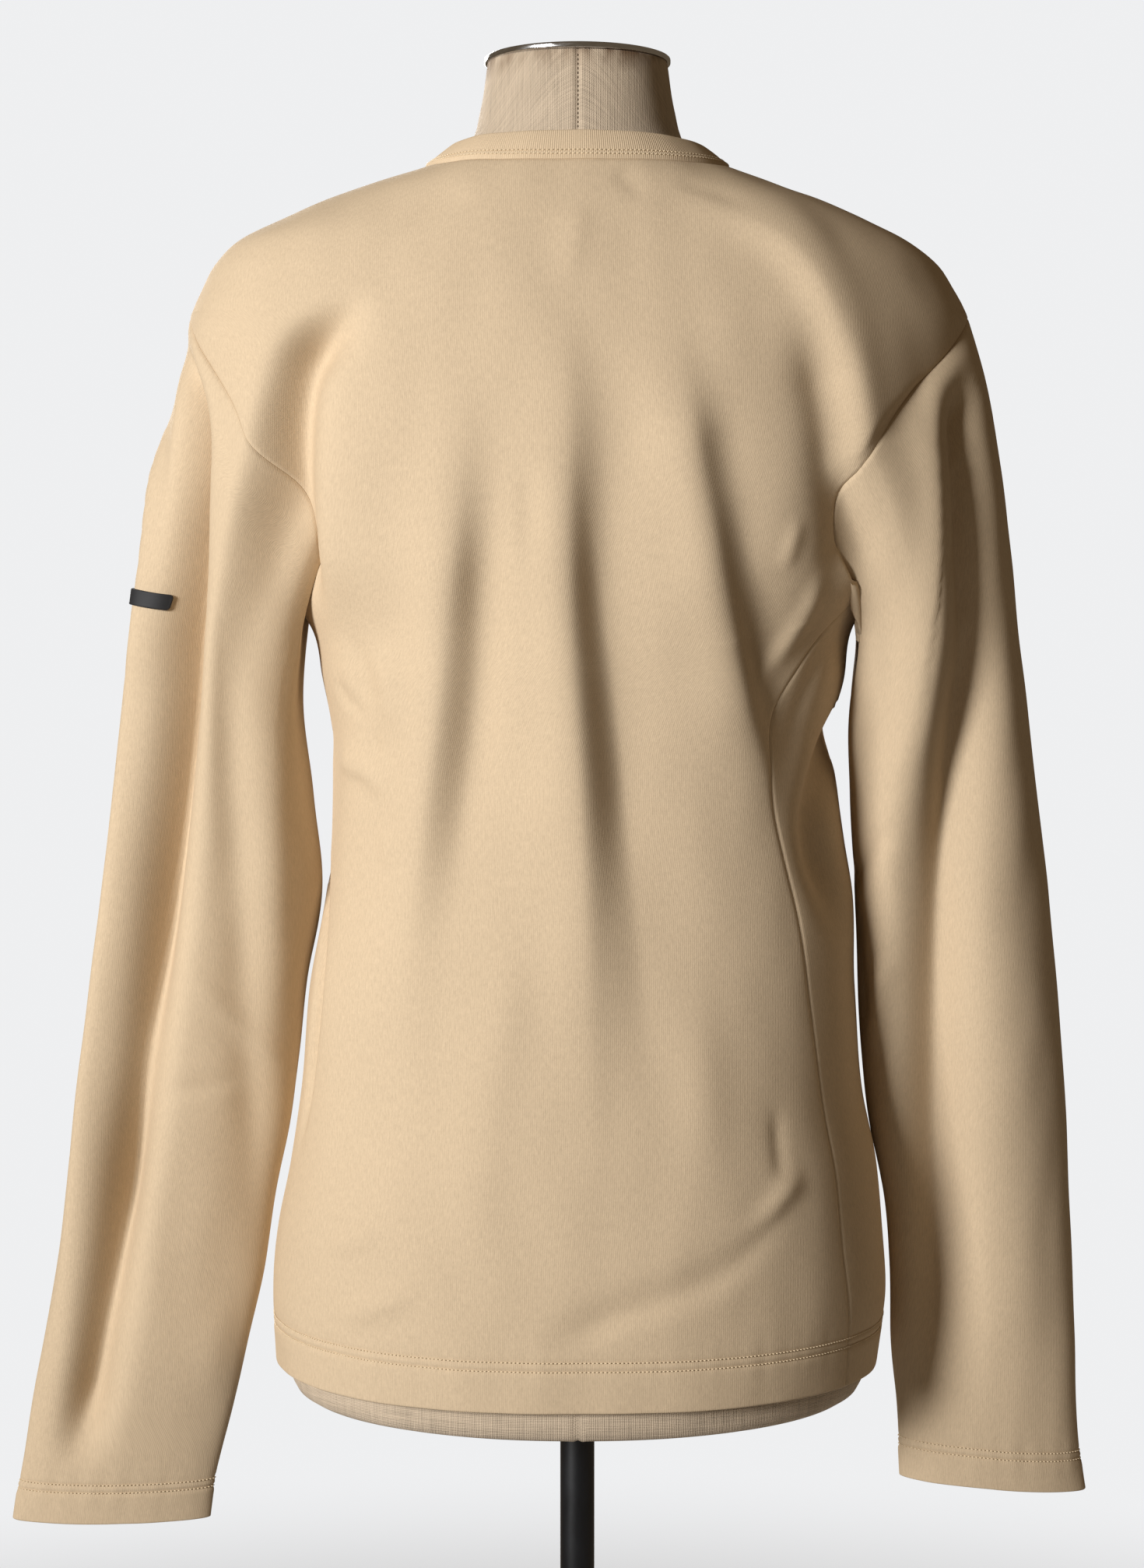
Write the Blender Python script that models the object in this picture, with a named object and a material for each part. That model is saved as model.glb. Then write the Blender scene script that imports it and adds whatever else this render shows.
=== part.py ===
"""A long-sleeve crew-neck t-shirt on a limbless linen dress form with a pole stand.

Metres, +Z up. The origin is on the floor under the pole, the garment's front faces -Y and the
wearer's left is +X. The cloth is a thin wall through smooth sections: the torso is a stack of
closed rings, and the front and back panels are stretches of those rings between the side seams,
armholes, shoulder seams and neckline. The sleeves are hanging tubes that start on the armholes.
"""

import math
from collections import namedtuple

import bmesh
import bpy
import numpy as np

# ---------------------------------------------------------------- driving sizes
CLOTH = 0.0018           # wall of the jersey panels and sleeves
RIB_CLOTH = 0.0022       # wall of the doubled rib neckband
SEAM_GAP = 0.0003        # between neighbouring pieces

HEM = 0.720              # height of the hem
UNDERARM = 1.129         # lowest point of the armholes
SHOULDER = 1.295         # outer end of the shoulder seams
NECK = 1.3726            # inner end of the shoulder seams
NECK_HALF = 0.0838       # half the width of the neckline
BACK_NECK_DROP = 0.0034
FRONT_NECK_DROP = 0.083
BAND_WIDTH = 0.017
BAND_LEAN_SIDE = 30      # degrees the neckband rises from level at the shoulders,
BAND_LEAN_BACK = 70      # at centre back
BAND_LEAN_FRONT = 60     # and at centre front

LABEL_LENGTH = 0.050     # woven tab that wraps the outer edge of the left sleeve
LABEL_WIDTH = 0.0085
LABEL_CORNER = 0.0022
LABEL_THICK = 0.0008
LABEL_CLEARANCE = 0.0009
LABEL_HEIGHT = 1.1405
LABEL_SLOPE = 0.08       # how far it drops per length towards the back
LABEL_BACKWARDS = 0.0205 # how far its middle is behind the sleeve's outer edge

CAP_THICK = 0.0036       # plate on top of the form's neck
CAP_RADIUS = 0.0508
CAP_AHEAD = 0.0022       # how far the neck's middle is in front of the pole
POLE_RADIUS = 0.0096
BASE_RADIUS = 0.190
BASE_TOP = 0.012
HUB_TOP = 0.034
HUB_RADIUS = 0.022
EDGE_ROUND = 0.0015      # rounded edges of the base and hub

# Torso sections: height, half-width to the wearer's left and right, depth to the back and front
TORSO = np.array([
    (0.690, 0.1650, 0.1630, 0.1270, 0.1160),
    (0.735, 0.1678, 0.1685, 0.1275, 0.1170),
    (0.757, 0.1690, 0.1715, 0.1275, 0.1175),
    (0.796, 0.1656, 0.1695, 0.1260, 0.1170),
    (0.832, 0.1584, 0.1655, 0.1220, 0.1150),
    (0.867, 0.1530, 0.1580, 0.1170, 0.1120),
    (0.928, 0.1478, 0.1532, 0.1080, 0.1090),
    (0.980, 0.1385, 0.1520, 0.1030, 0.1090),
    (1.006, 0.1361, 0.1475, 0.1025, 0.1100),
    (1.045, 0.1345, 0.1425, 0.1050, 0.1140),
    (1.071, 0.1353, 0.1405, 0.1080, 0.1170),
    (1.097, 0.1400, 0.1468, 0.1110, 0.1200),
    (1.123, 0.1453, 0.1510, 0.1140, 0.1230),
    (1.165, 0.1820, 0.1820, 0.1190, 0.1250),
    (1.205, 0.2010, 0.2010, 0.1190, 0.1210),
    (1.250, 0.2095, 0.2095, 0.1145, 0.1080),
    (1.295, 0.2105, 0.2117, 0.1040, 0.0880),
    (1.308, 0.2047, 0.2047, 0.1000, 0.0810),
    (1.321, 0.1980, 0.1957, 0.0955, 0.0740),
    (1.3334, 0.1855, 0.1794, 0.0910, 0.0665),
    (1.346, 0.1593, 0.1546, 0.0860, 0.0600),
    (1.3608, 0.1234, 0.1162, 0.0790, 0.0540),
    (1.3726, 0.0838, 0.0838, 0.0725, 0.0500),
])
SECTION_POWER = 2.3      # roundness of the torso sections: 2 is an ellipse

# Side seams, height and turn in degrees from centre back: the right one is pulled to the back
LEFT_SEAM = np.array([(HEM, 97.0), (0.90, 96.0), (UNDERARM, 90.0)])
RIGHT_SEAM = np.array([
    (HEM, 57.0), (0.80, 54.0), (0.87, 54.0), (0.93, 51.0),
    (1.00, 45.0), (1.045, 42.0), (1.10, 48.0), (1.1403, 65.0),
])

# Armholes by side: where the side seam joins, in degrees from the shoulder, reach back and front
ARMHOLE = {1: (180.0, 0.0790, 0.0740), -1: (149.0, 0.0890, 0.0740)}
ARMHOLE_SKEW = 0.25      # how much fuller an armhole is near the underarm than near the shoulder

# Sleeve sections: height, inner and outer distance from the middle, depth to the back and front
SLEEVE_LEFT = np.array([
    (0.615, 0.2080, 0.3190, 0.0120, 0.0130),
    (0.650, 0.2030, 0.3131, 0.0140, 0.0160),
    (0.690, 0.1935, 0.3060, 0.0170, 0.0210),
    (0.730, 0.1840, 0.2985, 0.0200, 0.0260),
    (0.770, 0.1750, 0.2910, 0.0220, 0.0300),
    (0.810, 0.1685, 0.2854, 0.0245, 0.0335),
    (0.849, 0.1612, 0.2805, 0.0275, 0.0365),
    (0.889, 0.1560, 0.2753, 0.0305, 0.0390),
    (0.928, 0.1515, 0.2696, 0.0335, 0.0410),
    (0.980, 0.1432, 0.2613, 0.0370, 0.0440),
    (1.032, 0.1489, 0.2520, 0.0410, 0.0480),
    (1.084, 0.1580, 0.2446, 0.0460, 0.0530),
    (1.123, 0.1600, 0.2412, 0.0510, 0.0580),
    (1.161, 0.1615, 0.2344, 0.0580, 0.0640),
    (1.213, 0.1700, 0.2253, 0.0660, 0.0660),
    (1.264, 0.1880, 0.2175, 0.0540, 0.0520),
    (1.296, 0.2000, 0.2110, 0.0200, 0.0200),
])
SLEEVE_RIGHT = np.array([
    (0.615, 0.1830, 0.2900, 0.0125, 0.0150),
    (0.650, 0.1820, 0.2840, 0.0160, 0.0185),
    (0.690, 0.1800, 0.2802, 0.0195, 0.0235),
    (0.730, 0.1760, 0.2784, 0.0220, 0.0285),
    (0.770, 0.1755, 0.2771, 0.0240, 0.0325),
    (0.810, 0.1722, 0.2753, 0.0260, 0.0360),
    (0.849, 0.1640, 0.2736, 0.0280, 0.0390),
    (0.889, 0.1590, 0.2705, 0.0305, 0.0415),
    (0.928, 0.1570, 0.2672, 0.0325, 0.0435),
    (0.980, 0.1556, 0.2613, 0.0370, 0.0490),
    (1.032, 0.1532, 0.2546, 0.0420, 0.0555),
    (1.084, 0.1550, 0.2481, 0.0510, 0.0610),
    (1.123, 0.1638, 0.2425, 0.0620, 0.0635),
    (1.161, 0.1660, 0.2378, 0.0730, 0.0650),
    (1.213, 0.1720, 0.2309, 0.0780, 0.0660),
    (1.264, 0.1880, 0.2209, 0.0580, 0.0520),
    (1.296, 0.2000, 0.2120, 0.0200, 0.0200),
])
SLEEVES = {1: SLEEVE_LEFT, -1: SLEEVE_RIGHT}
SLEEVE_POWER = 1.75      # below 2 the folded edges are sharper than an ellipse's ends
CUFF = {1: (0.623, 0.001), -1: (0.640, 0.008)}   # height of the cuff, and how much it rises inwards
ARMHOLE_PULL = 6.0       # how soon a sleeve leaves its armhole's outline for its own sections
SLEEVE_ROW_GROWTH = 1.15 # how much closer a sleeve's rows are near its armhole

# Form sections: height, half-width, depth to the back and front
FORM_POWER = 2.15
FORM = np.array([
    (0.7000, 0.1440, 0.1080, 0.0980),
    (0.7025, 0.1530, 0.1150, 0.1050),
    (0.7080, 0.1585, 0.1190, 0.1090),
    (0.7180, 0.1610, 0.1210, 0.1105),
    (0.7400, 0.1620, 0.1215, 0.1110),
    (0.7700, 0.1610, 0.1210, 0.1110),
    (0.8000, 0.1570, 0.1200, 0.1105),
    (0.8320, 0.1500, 0.1140, 0.1085),
    (0.8670, 0.1440, 0.1070, 0.1050),
    (0.9280, 0.1350, 0.0960, 0.1010),
    (0.9800, 0.1260, 0.0910, 0.1005),
    (1.0060, 0.1230, 0.0900, 0.1010),
    (1.0450, 0.1210, 0.0915, 0.1035),
    (1.0710, 0.1225, 0.0940, 0.1065),
    (1.0970, 0.1270, 0.0970, 0.1100),
    (1.1230, 0.1330, 0.1000, 0.1125),
    (1.1650, 0.1440, 0.1035, 0.1140),
    (1.2050, 0.1540, 0.1035, 0.1090),
    (1.2500, 0.1640, 0.0990, 0.0960),
    (1.2850, 0.1750, 0.0950, 0.0830),
    (1.3050, 0.1745, 0.0905, 0.0740),
    (1.3200, 0.1720, 0.0875, 0.0685),
    (1.3300, 0.1685, 0.0850, 0.0640),
    (1.3395, 0.1610, 0.0820, 0.0595),
    (1.3477, 0.1440, 0.0785, 0.0555),
    (1.3555, 0.1235, 0.0745, 0.0525),
    (1.3620, 0.1030, 0.0705, 0.0500),
    (1.3675, 0.0820, 0.0660, 0.0480),
    (1.3770, 0.0665, 0.0600, 0.0465),
    (1.3870, 0.0585, 0.0560, 0.0460),
    (1.4050, 0.0530, 0.0520, 0.0480),
    (1.4305, 0.0490, 0.0470, 0.0510),
])

# ---------------------------------------------------------------- folds
# A fold is a ridge (rise > 0) or a trough (rise < 0) along a line on the cloth.
# line: points as (distance to the wearer's left, height) on the back or front face
# left, right: reach of its slopes to the two sides of the line, seen from outside
# fade_in, fade_out: share of the line over which each end dies away
Fold = namedtuple("Fold", "face line rise left right fade_in fade_out")
TORSO_FOLDS = [
    # three long pipes that hang from the shoulder blades, and the hollows beside them
    Fold("back", [(0.018, 1.300), (0.011, 1.165), (0.006, 1.060), (0.000, 0.930), (-0.003, 0.780)],
         0.0080, 0.030, 0.022, 0.25, 0.35),
    Fold("back", [(-0.006, 1.245), (-0.020, 1.085), (-0.024, 0.950), (-0.024, 0.830)],
         -0.0055, 0.020, 0.024, 0.25, 0.40),
    Fold("back", [(0.066, 1.270), (0.068, 1.165), (0.076, 1.080), (0.092, 0.975), (0.108, 0.870)],
         0.0060, 0.026, 0.020, 0.25, 0.40),
    Fold("back", [(0.050, 1.235), (0.047, 1.120), (0.058, 1.030), (0.076, 0.910)],
         -0.0045, 0.018, 0.022, 0.25, 0.40),
    Fold("back", [(-0.050, 1.285), (-0.066, 1.165), (-0.084, 1.080), (-0.098, 1.010)],
         0.0065, 0.026, 0.020, 0.25, 0.35),
    # over the right shoulder blade and down to the armhole
    Fold("back", [(-0.055, 1.358), (-0.106, 1.335), (-0.132, 1.298), (-0.143, 1.250), (-0.150, 1.195)],
         0.0080, 0.016, 0.026, 0.35, 0.15),
    # deep trough beside the left armhole
    Fold("back", [(0.120, 1.290), (0.141, 1.255), (0.148, 1.210), (0.149, 1.150)],
         -0.0090, 0.018, 0.018, 0.30, 0.25),
    # the right side is drawn in above the hip
    Fold("back", [(-0.142, 1.120), (-0.134, 1.070), (-0.129, 1.030), (-0.138, 0.985), (-0.150, 0.930)],
         -0.0070, 0.020, 0.020, 0.35, 0.35),
    # soft pipes on the chest
    Fold("front", [(0.070, 1.230), (0.064, 1.120), (0.062, 1.000), (0.066, 0.860)],
         0.0050, 0.030, 0.028, 0.35, 0.40),
    Fold("front", [(-0.066, 1.240), (-0.070, 1.120), (-0.078, 1.000), (-0.084, 0.860)],
         0.0050, 0.028, 0.030, 0.35, 0.40),
]
SLEEVE_FOLDS = {
    1: [
        Fold("back", [(0.206, 1.290), (0.211, 1.215), (0.218, 1.130), (0.226, 1.050), (0.244, 0.900),
                      (0.262, 0.780), (0.282, 0.680)], -0.0070, 0.017, 0.017, 0.15, 0.30),
        Fold("back", [(0.180, 1.200), (0.182, 1.100), (0.186, 1.000), (0.192, 0.900)],
             0.0055, 0.018, 0.020, 0.25, 0.35),
        Fold("front", [(0.200, 1.260), (0.206, 1.160), (0.212, 1.050), (0.224, 0.920), (0.240, 0.780)],
             -0.0055, 0.018, 0.018, 0.25, 0.35),
    ],
    -1: [
        Fold("back", [(-0.202, 1.275), (-0.213, 1.190), (-0.214, 1.110), (-0.205, 1.030), (-0.196, 0.930),
                      (-0.194, 0.800), (-0.196, 0.690)], -0.0060, 0.017, 0.018, 0.15, 0.25),
        Fold("back", [(-0.184, 1.230), (-0.190, 1.140), (-0.188, 1.060), (-0.180, 0.960),
                      (-0.179, 0.850)], 0.0050, 0.018, 0.018, 0.25, 0.30),
        Fold("front", [(-0.194, 1.260), (-0.200, 1.150), (-0.202, 1.040), (-0.210, 0.900), (-0.220, 0.770)],
             -0.0050, 0.018, 0.018, 0.25, 0.35),
    ],
}

# ---------------------------------------------------------------- how finely each piece is divided
SIDE_ROWS = 15           # down a side seam
ARMHOLE_ROWS = 16        # up an armhole, front or back
SHOULDER_ROWS = 5        # along a shoulder seam
BACK_COLUMNS = 30
FRONT_COLUMNS = 20
SLEEVE_ROWS = 22
FORM_COLUMNS = 24
ROUND_COLUMNS = 32       # around the cap, pole and base
LABEL_COLUMNS = 20
LABEL_ROWS = 2
RING_SAMPLES = 181       # points that measure the length of one row
LINE_SAMPLES = 41        # points along a fold

# Middle of the rows that end at the underarms and at the shoulders
BACK_MIDDLES = (HEM, 1.112, 1.285, NECK - BACK_NECK_DROP)
FRONT_MIDDLES = (HEM, 1.095, 1.225, NECK - FRONT_NECK_DROP)
SIDE_ROW_GROWTH = 1.3    # how much closer the rows are near the underarm
ROW_BOW = 2.2            # how late a row below the underarm leaves its middle height for its ends'
LEVEL_FROM = 1.2         # higher rows reach their ends level: where that begins and over how many
LEVEL_OVER = 0.3         # rows it sets in, as shares of the side seam's rows


# ---------------------------------------------------------------- curves and sections
def table_at(table, height):
    """Each column of a table of sections at these heights, on one smooth cubic."""
    knots, values = table[:, 0], table[:, 1:]
    slopes = np.gradient(values, knots, axis=0)
    row = np.clip(np.searchsorted(knots, height, side="right") - 1, 0, len(knots) - 2)
    span = (knots[row + 1] - knots[row])[..., None]
    part = np.clip((np.asarray(height)[..., None] - knots[row][..., None]) / span, 0, 1)
    low, high = values[row], values[row + 1]
    smooth = part * part * (3 - 2 * part)
    lead = part * (1 - part) ** 2 * slopes[row] - part * part * (1 - part) * slopes[row + 1]
    return np.moveaxis(low + (high - low) * smooth + span * lead, -1, 0)


def through(points, count):
    """A smooth curve through these points, evenly spread over their numbers."""
    points = np.asarray(points, float)
    knots = np.arange(len(points), dtype=float)
    table = np.column_stack([knots, points])
    return table_at(table, np.linspace(0, knots[-1], count)).T


def signed_power(value, power):
    return np.sign(value) * np.abs(value) ** power


def unit(vectors):
    return vectors / np.maximum(np.linalg.norm(vectors, axis=-1, keepdims=True), 1e-9)


def smooth_step(value):
    value = np.clip(value, 0, 1)
    return value * value * (3 - 2 * value)


def normals_of(surface, first, second, step_first, step_second):
    """Normals of a surface of two parameters, from four neighbours of each point."""
    along_first = surface(first + step_first, second) - surface(first - step_first, second)
    along_second = surface(first, second + step_second) - surface(first, second - step_second)
    return unit(np.cross(along_second, along_first))


# ---------------------------------------------------------------- folds on a surface
def fold_lift(points, normals, folds, base_at):
    """How far the folds lift each point along its normal."""
    lift = np.zeros(points.shape[:-1])
    for fold in folds:
        across, height = through(fold.line, LINE_SAMPLES).T
        path = base_at(fold.face, across, height)
        away = points[..., None, :] - path
        nearest = np.argmin(np.sum(away * away, axis=-1), axis=-1)
        offset = points - path[nearest]
        step = np.gradient(path, axis=0)[nearest]
        length = np.linalg.norm(step, axis=-1)
        beyond = np.sum(step * offset, axis=-1) / length
        sideways = np.sum(np.cross(step, normals) * offset, axis=-1)
        distance = np.sqrt(np.maximum(np.sum(offset * offset, axis=-1) - beyond * beyond, 0))
        share = (nearest + beyond / length) / (LINE_SAMPLES - 1)
        fade = smooth_step(share / fold.fade_in) * smooth_step((1 - share) / fold.fade_out)
        width = np.where(sideways > 0, fold.left, fold.right)
        lift += fold.rise * fade * np.exp(-((distance / width) ** 2))
    return lift


# ---------------------------------------------------------------- torso
def torso_base(turn, height):
    """The torso without folds: turn is 0 at centre back and a quarter turn at the wearer's left."""
    left, right, back, front = table_at(TORSO, height)
    across, along = np.sin(turn), np.cos(turn)
    x = np.where(across > 0, left, right) * signed_power(across, 2 / SECTION_POWER)
    y = np.where(along > 0, back, front) * signed_power(along, 2 / SECTION_POWER)
    return np.stack([x, y, height + 0 * x], axis=-1)


def torso_normals(turn, height):
    return normals_of(torso_base, turn, height, math.radians(1.5), 0.003)


def turn_at(face, across, height):
    """The turn of the torso's point this far to the left, on its back or front face."""
    left, right = table_at(TORSO, height)[:2]
    reach = np.minimum(np.abs(across) / np.where(across > 0, left, right), 1)
    turn = np.arcsin(reach ** (SECTION_POWER / 2))
    return np.where(across < 0, -1, 1) * (turn if face == "back" else math.pi - turn)


def torso_at(face, across, height):
    return torso_base(turn_at(face, across, height), height)


def torso(turn, height):
    points, normals = torso_base(turn, height), torso_normals(turn, height)
    return points + fold_lift(points, normals, TORSO_FOLDS, torso_at)[..., None] * normals


def armhole_at(side, around):
    """Turn and height of an armhole's point, around in degrees from the shoulder by the back."""
    _, reach_back, reach_front = ARMHOLE[side]
    angle = np.radians(around)
    height = (SHOULDER + UNDERARM) / 2 + (SHOULDER - UNDERARM) / 2 * np.cos(angle)
    reach = np.where(np.sin(angle) > 0, reach_back, reach_front)
    depth = reach * np.sin(angle) * (1 - ARMHOLE_SKEW * np.cos(angle))
    back, front = table_at(TORSO, height)[2:]
    share = np.clip(depth / np.where(depth > 0, back, front), -1, 1)
    return np.arccos(signed_power(share, SECTION_POWER / 2)), height


def neckline_at(across, drop, face):
    """Turn and height of the neckline, across from -1 at the right shoulder to 1 at the left."""
    angle = across * math.pi / 2
    height = NECK - drop * np.cos(angle)
    return turn_at(face, NECK_HALF * np.sin(angle), height), height


def shoulder_heights(side, rows):
    """Heights up a shoulder seam, evenly spread over its width."""
    heights = np.linspace(SHOULDER, NECK, RING_SAMPLES)
    half = table_at(TORSO, heights)[0 if side > 0 else 1]
    width = np.linspace(half[0], NECK_HALF, rows + 1)
    return np.interp(-width, -half, heights)[1:]


def side_shares(rows):
    """How far up a side seam each row is: the rows are closer near the underarm."""
    return 1 - np.linspace(1, 0, rows + 1) ** SIDE_ROW_GROWTH


def edge_of_panel(side, face, rows):
    """Turn and height up one edge of a panel: side seam, armhole, then shoulder seam."""
    side_rows, armhole_rows, shoulder_rows = rows
    seam = LEFT_SEAM if side > 0 else RIGHT_SEAM
    joint = ARMHOLE[side][0]
    around = np.linspace(joint, 0 if face == "back" else 360, armhole_rows + 1)
    around[-1] = 0
    if face == "front":
        around[:-1] -= 360 * (around[:-1] > 180.001)
    turns, heights = armhole_at(side, around)
    seam_heights = HEM + (heights[0] - HEM) * side_shares(side_rows)[:-1]
    seam_turns = np.radians(table_at(seam, seam_heights)[0])
    top = shoulder_heights(side, shoulder_rows)
    turns = np.concatenate([seam_turns, turns, np.full(shoulder_rows, math.pi / 2)])
    return side * turns, np.concatenate([seam_heights, heights, top])


def panel_places(face, rows, columns):
    """Turn and height of each point of a panel, in rows from hem to neckline, evenly spaced."""
    right_turn, right_height = edge_of_panel(-1, face, rows)
    left_turn, left_height = edge_of_panel(1, face, rows)
    if face == "front":
        right_turn = right_turn + 2 * math.pi
    middles = BACK_MIDDLES if face == "back" else FRONT_MIDDLES
    shares = (side_shares(rows[0]), np.linspace(0, 1, rows[1] + 1)[1:], np.linspace(0, 1, rows[2] + 1)[1:])
    middle = np.concatenate([
        middles[i] + (middles[i + 1] - middles[i]) * share for i, share in enumerate(shares)])
    share = np.linspace(-1, 1, RING_SAMPLES)
    level = smooth_step((np.arange(len(middle)) - rows[0] * LEVEL_FROM) / (rows[0] * LEVEL_OVER))[:, None]
    bow = (1 - level) * np.abs(share) ** ROW_BOW + level * smooth_step(np.abs(share))
    ends = np.where(share > 0, left_height[:, None], right_height[:, None])
    height = middle[:, None] + (ends - middle[:, None]) * bow
    turn = right_turn[:, None] + (left_turn - right_turn)[:, None] * (share + 1) / 2
    drop = BACK_NECK_DROP if face == "back" else FRONT_NECK_DROP
    neck_turn, neck_height = neckline_at(share, drop, face)
    if face == "front":
        neck_turn = neck_turn % (2 * math.pi)
    near_neck = np.clip((np.arange(len(middle)) - rows[0] - rows[1]) / rows[2], 0, 1)[:, None]
    turn = turn + near_neck * (neck_turn - turn[-1])
    height = height + near_neck * (neck_height - height[-1])
    places = np.empty((len(middle), columns + 1, 2))
    for row in range(len(middle)):
        points = torso_base(turn[row], height[row])
        steps = np.linalg.norm(np.diff(points, axis=0), axis=-1)
        length = np.concatenate([[0], np.cumsum(steps)])
        wanted = np.linspace(0, length[-1], columns + 1)
        places[row, :, 0] = np.interp(wanted, length, turn[row])
        places[row, :, 1] = np.interp(wanted, length, height[row])
    return places[..., 0], places[..., 1]


# ---------------------------------------------------------------- sleeves
def sleeve_section(side, angle, height):
    """A point of a sleeve's hanging section: angle 0 is outermost and a quarter turn the back."""
    inner, outer, back, front = table_at(SLEEVES[side], height)
    across = (outer + inner) / 2 + (outer - inner) / 2 * signed_power(np.cos(angle), 2 / SLEEVE_POWER)
    depth = np.where(np.sin(angle) > 0, back, front) * signed_power(np.sin(angle), 2 / SLEEVE_POWER)
    return np.stack([side * across, depth, height + 0 * across], axis=-1)


def sleeve_at(side):
    """Finds the point of a sleeve this far to the left and this high, on its back or front."""
    def at(face, across, height):
        inner, outer = table_at(SLEEVES[side], height)[:2]
        share = (side * across - (outer + inner) / 2) / ((outer - inner) / 2)
        angle = np.arccos(np.clip(signed_power(share, SLEEVE_POWER / 2), -1, 1))
        return sleeve_section(side, angle if face == "back" else -angle, height)
    return at


def sleeve_shape(side, armhole):
    """The sleeve that hangs from this ring of armhole points, with and without its folds."""
    ring = np.concatenate([armhole, armhole[:1]])
    corners = np.linspace(0, 2 * math.pi, len(ring))
    cuff_height, cuff_rise = CUFF[side]

    def base(angle, down):
        wrapped = angle % (2 * math.pi)
        start = np.stack([np.interp(wrapped, corners, ring[:, i]) for i in range(3)], axis=-1)
        end = cuff_height + cuff_rise * (1 - np.cos(angle)) / 2
        height = start[..., 2] + (end - start[..., 2]) * down
        pull = np.exp(-ARMHOLE_PULL * np.clip(down, 0, 1)) * (1 - np.clip(down, 0, 1))
        offset = start - sleeve_section(side, angle, start[..., 2])
        return sleeve_section(side, angle, height) + offset * pull[..., None]

    def folded(angle, down):
        points = base(angle, down)
        normals = side * normals_of(base, angle, down, 0.05, 0.01)
        lift = fold_lift(points, normals, SLEEVE_FOLDS[side], sleeve_at(side))
        return points + (lift * smooth_step(down / 0.06))[..., None] * normals

    return base, folded


# ---------------------------------------------------------------- meshes
RIM_LEAN = np.array([0.37, 0.21, 1.0])   # rims are split from the corner furthest this way


def grid_faces(corners, rows, columns, closed):
    """Quads of a grid of vertex numbers, each split along its shorter diagonal."""
    count = rows * columns
    number = np.arange(count).reshape(rows, columns)
    ahead = np.roll(number, -1, axis=1) if closed else number[:, 1:]
    here = number if closed else number[:, :-1]
    faces = []
    for a, b, c, d in zip(here[:-1].flat, ahead[:-1].flat, ahead[1:].flat, here[1:].flat):
        if np.linalg.norm(corners[a] - corners[c]) < np.linalg.norm(corners[b] - corners[d]):
            faces += [(a, b, c), (a, c, d)]
        else:
            faces += [(a, b, d), (b, c, d)]
    return faces


def solid_mesh(name, points, faces):
    """A mesh whose faces all point outwards."""
    mesh = bpy.data.meshes.new(name)
    mesh.from_pydata(points.tolist(), [], faces)
    work = bmesh.new()
    work.from_mesh(mesh)
    bmesh.ops.recalc_face_normals(work, faces=work.faces)
    work.to_mesh(mesh)
    work.free()
    mesh.shade_smooth()
    return mesh


def rim_faces(points, edge, count):
    """The strip that joins an edge of the outer wall to the same edge of the inner wall.

    Both sides of a seam split their strips the same way, so they stay parallel.
    """
    faces = []
    for a, b in zip(edge[:-1], edge[1:]):
        if points[a] @ RIM_LEAN < points[b] @ RIM_LEAN:
            faces += [(b, a, a + count), (b, a + count, b + count)]
        else:
            faces += [(b, a, b + count), (a, a + count, b + count)]
    return faces


def wall_mesh(name, outer, inner, closed):
    """A closed wall between two grids of points, whose rows run up and columns to the left."""
    rows, columns = outer.shape[:2]
    count = rows * columns
    points = np.concatenate([outer.reshape(-1, 3), inner.reshape(-1, 3)])
    skin = grid_faces(points, rows, columns, closed)
    faces = skin + [(c + count, b + count, a + count) for a, b, c in skin]
    number = np.arange(count).reshape(rows, columns)
    bottom, top = number[0], number[-1]
    if closed:
        faces += rim_faces(points, np.append(bottom, bottom[0]), count)
        faces += rim_faces(points, np.append(top, top[0])[::-1], count)
    else:
        loop = np.concatenate([bottom, number[1:, -1], top[-2::-1], number[-2::-1, 0]])
        faces += rim_faces(points, loop, count)
    return solid_mesh(name, points, faces)


def turned_mesh(name, rings):
    """A closed solid through stacked rings of points, with a flat bottom and top."""
    rings = np.asarray(rings)
    rows, columns = rings.shape[:2]
    faces = grid_faces(rings.reshape(-1, 3), rows, columns, True)
    bottom, top = rows * columns, rows * columns + 1
    points = np.concatenate([rings.reshape(-1, 3), [rings[0].mean(0), rings[-1].mean(0)]])
    last = (rows - 1) * columns
    for column in range(columns):
        ahead = (column + 1) % columns
        faces += [(ahead, column, bottom), (last + column, last + ahead, top)]
    return solid_mesh(name, points, faces)


def add_piece(name, mesh, colour, roughness, metallic=0.0):
    """An object for one piece, with its own plain material."""
    material = bpy.data.materials.new(name)
    material.use_nodes = True
    shader = material.node_tree.nodes["Principled BSDF"]
    shader.inputs["Base Color"].default_value = (*colour, 1)
    shader.inputs["Roughness"].default_value = roughness
    shader.inputs["Metallic"].default_value = metallic
    mesh.materials.append(material)
    mesh.set_sharp_from_angle(angle=math.radians(40))
    piece = bpy.data.objects.new(name, mesh)
    bpy.context.scene.collection.objects.link(piece)
    return piece


# ---------------------------------------------------------------- cloth pieces
BEIGE = (0.55, 0.40, 0.22)
PANEL_ROWS = (SIDE_ROWS, ARMHOLE_ROWS, SHOULDER_ROWS)
ARMHOLE_SPAN = slice(SIDE_ROWS, SIDE_ROWS + ARMHOLE_ROWS + 1)


class Wall:
    """A grid of outer points, the direction its thickness is measured in, and its seam shift."""

    def __init__(self, points, normals):
        self.points, self.normals = points, normals
        self.shift = np.zeros_like(points)

    def add(self, name, thick, closed, colour=BEIGE):
        outer = self.points + self.shift
        return add_piece(name, wall_mesh(name, outer, outer - self.normals * thick, closed), colour, 0.9)


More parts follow.
